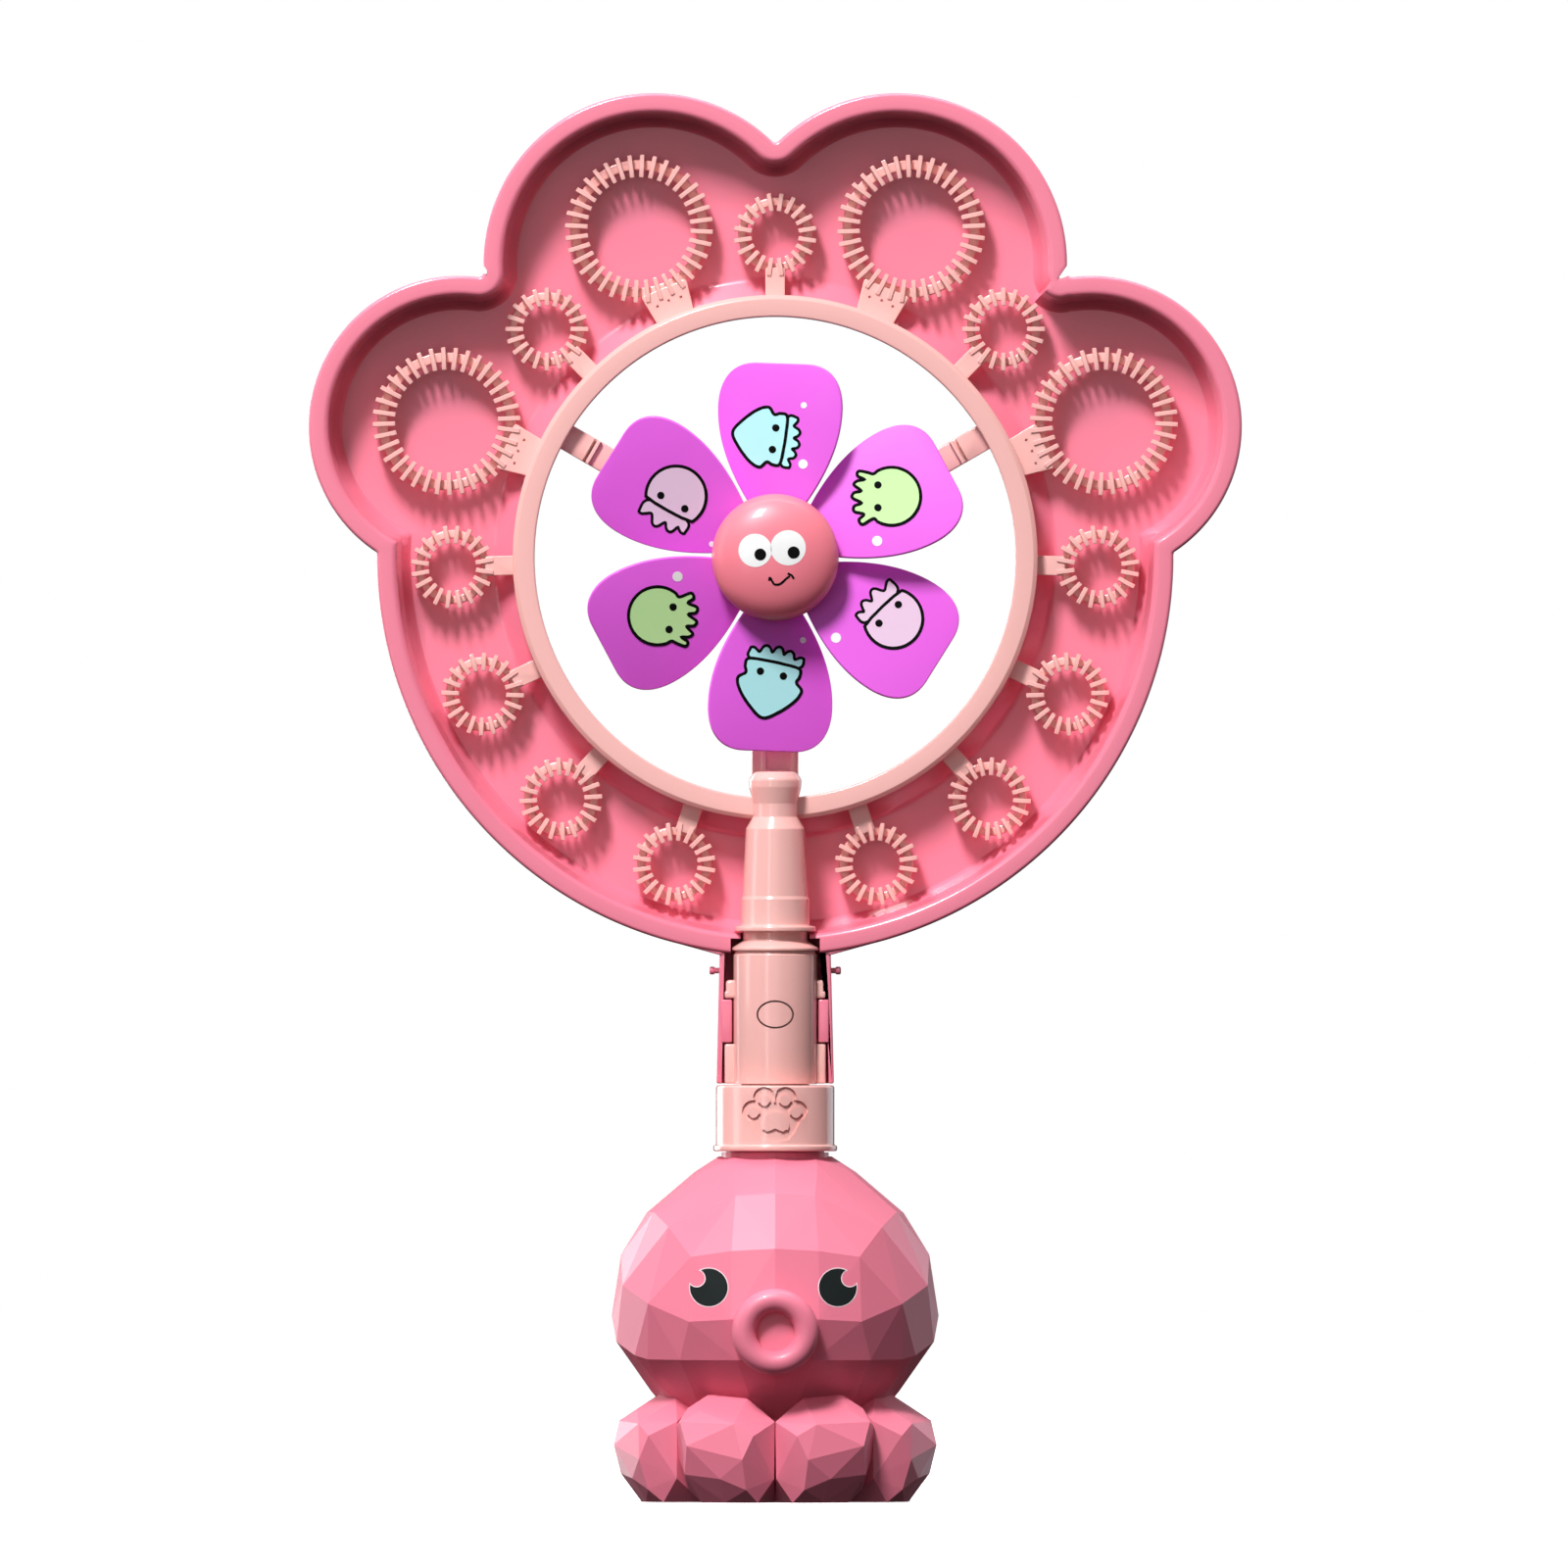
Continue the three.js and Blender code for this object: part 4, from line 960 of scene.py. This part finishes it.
def make_pin():
    pin = tool(lambda bm: bar(bm, 1.5, PIN_LOW.y, PIN_HIGH.y - 0.5, WHEEL_Z, 48, 0.3), "axle_pin_turned")
    add(pin, lambda bm: bar(bm, 3, PIN_HIGH.y - 1.2, PIN_HIGH.y, WHEEL_Z, 48, 0.5))
    return finish(pin, STEEL, "wand", "steel", "axle_pin", crease=40)


def make_spring():
    """The coil behind the button, with its seat at the back, made from the frame's own spring mesh."""
    bm = bmesh.new()
    bm.from_mesh(frame["nodes"]["button_spring"].data)
    bm.transform(Matrix.Scale(1 / MM, 4))
    spring = finish(make("button_spring_coil", bm, STEEL), None, "wand", "steel", "button_spring", crease=50)
    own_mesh(spring)


def make_washer(name, cad_node):
    low, high = node_box(cad_node)
    outer = (high.x - low.x) / 2
    section = [(1.8, low.y, 0.1), (outer, low.y, 0.15), (outer, high.y, 0.15), (1.8, high.y, 0.1)]
    bm = bmesh.new()
    lathe(bm, rounded(section, 3), 64, revolve_wheel)
    return finish(make(name, bm, STEEL), None, "wand", "steel", cad_node, crease=40)


# ---- Bottle ----


def bottle_mesh(flatten):
    """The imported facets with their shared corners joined, and, if asked, merged into flat faces."""
    mesh = bpy.data.meshes.new("bottle_facets")
    bm = bmesh.new()
    bm.from_mesh(frame["nodes"]["bottle_body"].data)
    bmesh.ops.remove_doubles(bm, verts=bm.verts, dist=2e-6)
    if flatten:
        bmesh.ops.dissolve_limit(bm, angle_limit=math.radians(0.6), verts=bm.verts, edges=bm.edges)
    bm.to_mesh(mesh)
    bm.free()
    return mesh


def make_bottle():
    """The faceted octopus, with the edges of its facets softly rounded."""
    mesh = bottle_mesh(flatten=True)
    bottle = put("bottle_moulding", mesh)
    mesh.materials.append(BOTTLE_PINK)
    mesh.shade_flat()
    bevel = bottle.modifiers.new("soft_edges", "BEVEL")
    bevel.width = 0.22 * MM
    bevel.segments = 2
    bevel.limit_method = "ANGLE"
    bevel.angle_limit = math.radians(4)
    bevel.harden_normals = True
    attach(bottle, "bottle")
    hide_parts("bottle_body")
    return bottle


def make_mouth():
    """A thick round lip with a shallow disc in it."""
    middle = (MOUTH_LOW.z + MOUTH_HIGH.z) / 2
    tube = 3.1
    major = (MOUTH_HIGH.x - MOUTH_LOW.x) / 2 - tube
    centre_y = MOUTH_LOW.y + tube
    ring = [Vector((major + tube * math.cos(a), centre_y + tube * math.sin(a))) for a in
            (2 * math.pi * k / 40 for k in range(40))]
    around = lambda r, a, h: Vector((r * math.cos(a), h, middle + r * math.sin(a)))
    lip = tool(lambda bm: lathe(bm, ring, 128, around), "mouth_lip")
    disc = centre_y + 1.1
    skirt = [(0, disc), (6.2, disc), (9.6, centre_y), (9.6, -34.5), (0, -34.5)]
    add(lip, lambda bm: lathe(bm, skirt, 128, around))
    return finish(lip, BOTTLE_PINK, "bottle", "bottle_pink", "mouth_ring", crease=60)


# ---- Prints ----


def laid(bm, outline, depth, drop):
    """The outline's points at a drop behind the surface that depth(x, z) gives."""
    return [bm.verts.new((p.x, depth(p.x, p.y) + drop, p.y)) for p in outline]


def sheet(bm, outline, depth, index, lift):
    """A thin printed shape with its back just inside the surface."""
    front, back = laid(bm, outline, depth, -lift), laid(bm, outline, depth, PRINT_ROOT)
    skin(bm, [front, back], closed=False, index=index)
    for face in (front, reversed(back)):
        bm.faces.new(face).material_index = index


def ribbon(bm, outline, width, depth, index, lift):
    """A printed line along a closed outline."""
    outer, inner = inset(outline, -width / 2), inset(outline, width / 2)
    sides = ((outer, -lift), (inner, -lift), (inner, PRINT_ROOT), (outer, PRINT_ROOT))
    skin(bm, [laid(bm, ring, depth, drop) for ring, drop in sides], index=index)


def turned(points, angle, x, z, scale):
    """Points drawn about the origin, scaled, turned by degrees and moved."""
    rotation = Matrix.Rotation(math.radians(angle), 2)
    return [rotation @ Vector(p) * scale + Vector((x, z)) for p in points]


def frill(root, tips, valleys):
    """A wavy edge behind a straight root, pointing to -x: rounded tips with valleys between them."""
    half = (abs(tips[0][1]) + abs(tips[-1][1])) / 2
    points = [(root, -half + 0.3), (root, half - 0.3)]
    for i, (u, v) in enumerate(tips):
        points += [(u + 0.5, v + 0.9), (u, v), (u + 0.5, v - 0.9)]
        if i < len(valleys):
            points.append(valleys[i])
    return smooth_closed(points, 5)


def squid():
    half = [(7.2, 3.6), (3.6, 7.1), (0.6, 8.3), (-1.2, 6.6), (-2.9, 7.1), (-4.8, 6.6), (-5.2, 2.2)]
    body = smooth_closed([(9.3, 0), *half, *[(x, -z) for x, z in reversed(half)]])
    tips = [(-7.7, 6.4), (-8.8, 3.5), (-9.3, 0.6), (-9, -2.6), (-7.9, -5.8)]
    valleys = [(-7, 4.9), (-7.6, 2), (-7.6, -1), (-7.1, -4.2)]
    return body, frill(-4.8, tips, valleys), [(-2.2, 3), (-2.2, -3)]


def octopus():
    head = arc(0, 0, 7.4, -129.6, 129.6, 24)
    arms = [(-6.2, 6.1), (-8.4, 6.4), (-8.7, 5.2), (-7, 4.3), (-8.8, 3.9), (-9.6, 2.9), (-7.8, 1.4)]
    arms += [(-9.6, 0.9), (-10, -0.4), (-7.7, -1.7), (-9.5, -2.5), (-9.5, -3.9), (-7.1, -4.6), (-8.3, -6)]
    arms.append((-7.4, -7.2))
    return smooth_closed(head + arms, 5), None, [(-3.5, 2.9), (-3.5, -2.9)]


def jellyfish():
    dome = [*arc(0, 0, 7.7, -118.8, 118.8, 40), (-4.1, 4), (-4.2, 0), (-4.1, -4)]
    tips = [(-8.1, 5.6), (-9.3, 1.2), (-8.8, -2.6), (-7.5, -5.6)]
    valleys = [(-6.9, 3.3), (-7.2, -0.8), (-6.7, -4.2)]
    return [Vector(p) for p in dome], frill(-4, tips, valleys), [(-1.7, 3.5), (-1.7, -3.5)]


# Each petal's picture: creature, ink, scale, its middle from the hub, where its head points, and dots.
PICTURES = [
    (squid, "cyan", 0.93, (-2.3, 30.6), 171, [(7.3, 38.8, 0.8), (7.1, 23.8, 1.2)]),
    (jellyfish, "lilac", 1, (-25.3, 15.6), 61, [(-16.2, 3.4, 0.7)]),
    (octopus, "green", 1, (-30.0, -14.9), 170, [(-24.9, -4.9, 1.3)]),
    (squid, "cyan", 1, (-1.3, -31.8), -102, [(7.1, -21.1, 0.8)]),
    (jellyfish, "lilac", 0.98, (30.1, -15.6), -46, [(15.5, -20.5, 1.3)]),
    (octopus, "green", 1, (29.7, 15.6), 0, [(26, 4.2, 1.3)]),
]
INKS = {"cyan": INK_CYAN, "lilac": INK_LILAC, "green": INK_GREEN}


def petal_face(index):
    """Depth of a petal's front face, as a function of x and z from the wheel's centre."""
    place = petal_place(index)
    normal = (place.to_3x3() @ Vector((0, -1, 0))).normalized()
    point = place @ Vector((0, -PETAL_THICK / 2, 0)) - Vector((0, 0, WHEEL_Z))

    def depth(x, z):
        return point.y - ((x - point.x) * normal.x + (z - point.z) * normal.z) / normal.y

    return depth


def make_picture(index):
    draw, colour, scale, (x, z), angle, dots = PICTURES[index]
    body, skirt, eyes = draw()
    depth = petal_face(index)
    bm = bmesh.new()
    lift = PRINT_LIFT
    if skirt:
        outline = turned(skirt, angle, x, z, scale)
        sheet(bm, outline, depth, 0, lift)
        ribbon(bm, outline, 0.72, depth, 1, lift * 1.5)
    outline = turned(body, angle, x, z, scale)
    sheet(bm, outline, depth, 0, lift * 2)
    ribbon(bm, outline, 0.8, depth, 1, lift * 2.5)
    for u, v in eyes:
        spot = turned([(u, v)], angle, x, z, scale)[0]
        sheet(bm, ellipse(spot.x, spot.y, 0.95, 0.95, 24), depth, 1, lift * 3)
    for u, v, radius in dots:
        sheet(bm, ellipse(u, v, radius, radius, 24), depth, 2, lift)
    bmesh.ops.translate(bm, vec=(0, 0, WHEEL_Z), verts=bm.verts)
    picture = make(f"print_petal_{index + 1}", bm, INKS[colour])
    picture.data.materials.append(INK_BLACK)
    picture.data.materials.append(INK_WHITE)
    return finish(picture, None, "windmill", "petal_magenta")


def on_dome(bm, outline, index, lift):
    """A printed patch that follows the dome: rings of the outline shrink to its middle."""
    middle = sum(outline, Vector((0, 0))) / len(outline)
    rings = []
    for k in range(7):
        ring = [middle + (p - middle) * (1 - k / 7) for p in outline]
        rings.append([bm.verts.new((p.x, hub_depth(p.length) - lift, p.y)) for p in ring])
    skin(bm, rings, closed=False, index=index)
    bm.faces.new(rings[-1]).material_index = index


def make_hub_face():
    """A plain cartoon face: two round eyes and a smile."""
    bm = bmesh.new()
    for white, pupil in (((-5.1, 1.75, 4.25), (-3.8, 0.7, 1.5)), ((3.3, 2.4, 4.5), (4.7, 1.2, 1.55))):
        on_dome(bm, ellipse(*white[:2], white[2], white[2]), 0, 0.05)
        on_dome(bm, ellipse(*pupil[:2], pupil[2], pupil[2]), 1, 0.12)
    path = smooth_closed([(-1.5, -6), (-0.2, -6.9), (1.4, -6.7), (4.2, -4.6), (9, -4), (0, -20)], 8)[:24]
    tick = [Vector((3.2, -4.1)), Vector((4.2, -4.6)), Vector((4.8, -5.5))]
    for line in (path, tick):
        pairs = zip(*stroke(line, 0.56))
        rows = [[bm.verts.new((q.x, hub_depth(q.length) - 0.08, q.y)) for q in pair] for pair in pairs]
        for one, two in zip(rows, rows[1:]):
            bm.faces.new((one[0], one[1], two[1], two[0])).material_index = 1
    bmesh.ops.translate(bm, vec=(0, 0, WHEEL_Z), verts=bm.verts)
    face = make("print_hub_face", bm, INK_WHITE)
    face.data.materials.append(INK_BLACK)
    return finish(face, None, "windmill", "hub_coral")


def bitten(x, z, radius, bite_x, bite_z, bite):
    """A disc with a round bite out of its edge."""
    away = Vector((bite_x, bite_z))
    reach = (away.length_squared + radius**2 - bite**2) / (2 * away.length)
    half = math.acos(reach / radius)
    middle = math.atan2(bite_z, bite_x)
    outline = arc(0, 0, radius, math.degrees(middle + half), math.degrees(middle - half) + 360, 60)
    last, first = outline[-1] - away, outline[0] - away
    sweep = last.angle_signed(first)
    sweep += 2 * math.pi if sweep < 0 else 0
    for k in range(1, 20):
        turned_point = last.copy()
        turned_point.rotate(Matrix.Rotation(-sweep * k / 20, 2))
        outline.append(away + turned_point)
    return [p + Vector((x, z)) for p in outline]


def shifted(mesh, distance):
    """A helper copy of a mesh moved back along Y."""
    copy = put("tool", mesh.copy())
    copy.data.transform(Matrix.Translation((0, distance * MM, 0)))
    return copy


def skin_print(name, outline, mesh, lift, material, body, slot):
    """A print that hugs a solid: the outline pushed through it, keeping only a thin skin."""
    printed = tool(lambda bm: slab(bm, outline, -60, -20, 0), name)
    combine(printed, shifted(mesh, -lift), "INTERSECT")
    combine(printed, shifted(mesh, 0.3), "DIFFERENCE")
    return finish(printed, material, body, slot, crease=60)


def make_eyes():
    """Two black eyes with a thin pale edge, each with a round bite for the glint."""
    mesh = bottle_mesh(flatten=False)
    for name, x, side in EYES:
        for grow, lift, material, part in ((0.25, 0.04, EYE_EDGE, "edge"), (0, 0.08, EYE_BLACK, "pupil")):
            outline = bitten(x, EYE_Z, EYE_R + grow, side * 3.1, 2.3, 2.3 - grow)
            skin_print(f"print_eye_{name}_{part}", outline, mesh, lift, material, "bottle", "bottle_pink")


# ---- CAD nodes that keep their own mesh ----


def dress(cad_node, material, bevel=0.0):
    shown = frame["nodes"][cad_node]
    shown.data.materials.clear()
    shown.data.materials.append(material)
    if bevel:
        modifier = shown.modifiers.new("soft_edges", "BEVEL")
        modifier.width = bevel * MM
        modifier.segments = 2
        modifier.limit_method = "ANGLE"
        modifier.angle_limit = math.radians(40)


# ---- Stage, light and camera ----


def make_stage():
    """A pale flat floor, open on every side so that the object can be seen from all round."""
    half = 6.0
    corners = [(-half, -half, 0), (half, -half, 0), (half, half, 0), (-half, half, 0)]
    mesh = bpy.data.meshes.new("floor")
    mesh.from_pydata(corners, [], [(0, 1, 2, 3)])
    floor = put("floor", mesh)
    material = bpy.data.materials.new("pale_floor")
    material.use_nodes = True
    shader = material.node_tree.nodes["Principled BSDF"]
    shader.inputs["Base Color"].default_value = (0.93, 0.93, 0.93, 1)
    shader.inputs["Roughness"].default_value = 0.9
    shader.inputs["Emission Color"].default_value = (1, 1, 1, 1)
    shader.inputs["Emission Strength"].default_value = 0.7
    mesh.materials.append(material)
    floor.visible_diffuse = False
    floor.visible_glossy = False


def area_light(name, place, size, power, colour=(1, 1, 1), target=(0, 0, 0.2)):
    data = bpy.data.lights.new(name, "AREA")
    data.shape = "RECTANGLE"
    data.size, data.size_y = size
    data.energy = power
    data.color = colour
    light = put(name, data)
    light.location = place
    light.rotation_euler = (Vector(target) - Vector(place)).to_track_quat("-Z", "Y").to_euler()
    light.visible_camera = False


def make_world():
    """White to the camera; as light, bright above and dim below, so that undersides stay dark."""
    world = bpy.data.worlds.new("studio")
    world.use_nodes = True
    tree = world.node_tree
    place = node(tree, "TexCoord").outputs["Generated"]
    parts = node(tree, "SeparateXYZ")
    tree.links.new(place, parts.inputs["Vector"])
    rise = node(tree, "MapRange", {"From Min": -0.15, "From Max": 0.8, "To Min": 0.03, "To Max": 0.32})
    rise.interpolation_type = "SMOOTHSTEP"
    tree.links.new(parts.outputs["Z"], rise.inputs["Value"])
    background = tree.nodes["Background"]
    background.inputs["Color"].default_value = (1, 1, 1, 1)
    level = node(tree, "Math", operation="MAXIMUM")
    tree.links.new(rise.outputs["Result"], level.inputs[0])
    tree.links.new(node(tree, "LightPath").outputs["Is Camera Ray"], level.inputs[1])
    tree.links.new(level.outputs["Value"], background.inputs["Strength"])
    bpy.context.scene.world = world


def make_lights():
    area_light("key", (-0.57, -1.33, 1.86), (0.35, 0.6), 56)
    area_light("strip", (-0.86, -2.13, 0.4), (0.28, 1.2), 3.2)
    area_light("left", (-1.5, -0.2, 0.6), (0.4, 1.0), 3)
    area_light("rim_left", (-0.95, 1.1, 0.25), (0.8, 1.2), 12)
    area_light("rim_right", (0.95, 1.1, 0.25), (0.8, 1.2), 4, (0.92, 0.94, 1))
    area_light("front", (0, -3.4, 0.25), (1.4, 1.2), 3.5)
    area_light("top", (0, 0.2, 2.6), (2.5, 0.6), 40, target=(0, 1.6, 0.6))
    make_world()


def make_camera():
    """Straight at the front through a long lens."""
    frame_width = 0.4
    lens, sensor = 1500, 36
    data = bpy.data.cameras.new("camera")
    data.lens = lens
    data.sensor_width = sensor
    data.clip_end = 60
    camera = put("camera", data)
    camera.location = (0.00225, -frame_width * lens / sensor, 0.183)
    camera.rotation_euler = (math.pi / 2, 0, 0)
    bpy.context.scene.camera = camera


for unused in [o for o in bpy.data.objects if o.name in ("Cube", "Light", "Camera")]:
    bpy.data.objects.remove(unused)
bpy.context.scene.view_settings.view_transform = "Standard"

make_tray()
make_bubble_ring()
make_front_shell()
make_rear_shell()
make_collar()
make_button()
make_bracket()
for number in range(PETALS):
    make_petal(number)
    make_picture(number)
make_hub_base()
make_hub_cap()
make_hub_face()
make_pin()
make_spring()
make_washer("axle_washer_pressed", "axle_washer")
make_washer("retaining_clip_pressed", "retaining_clip")
make_bottle()
make_mouth()
make_eyes()
dress("cap_liner", FOAM, 0.1)
dress("neck_screw", STEEL, 0.15)
dress("handle_screw", STEEL, 0.15)
make_stage()
make_lights()
make_camera()
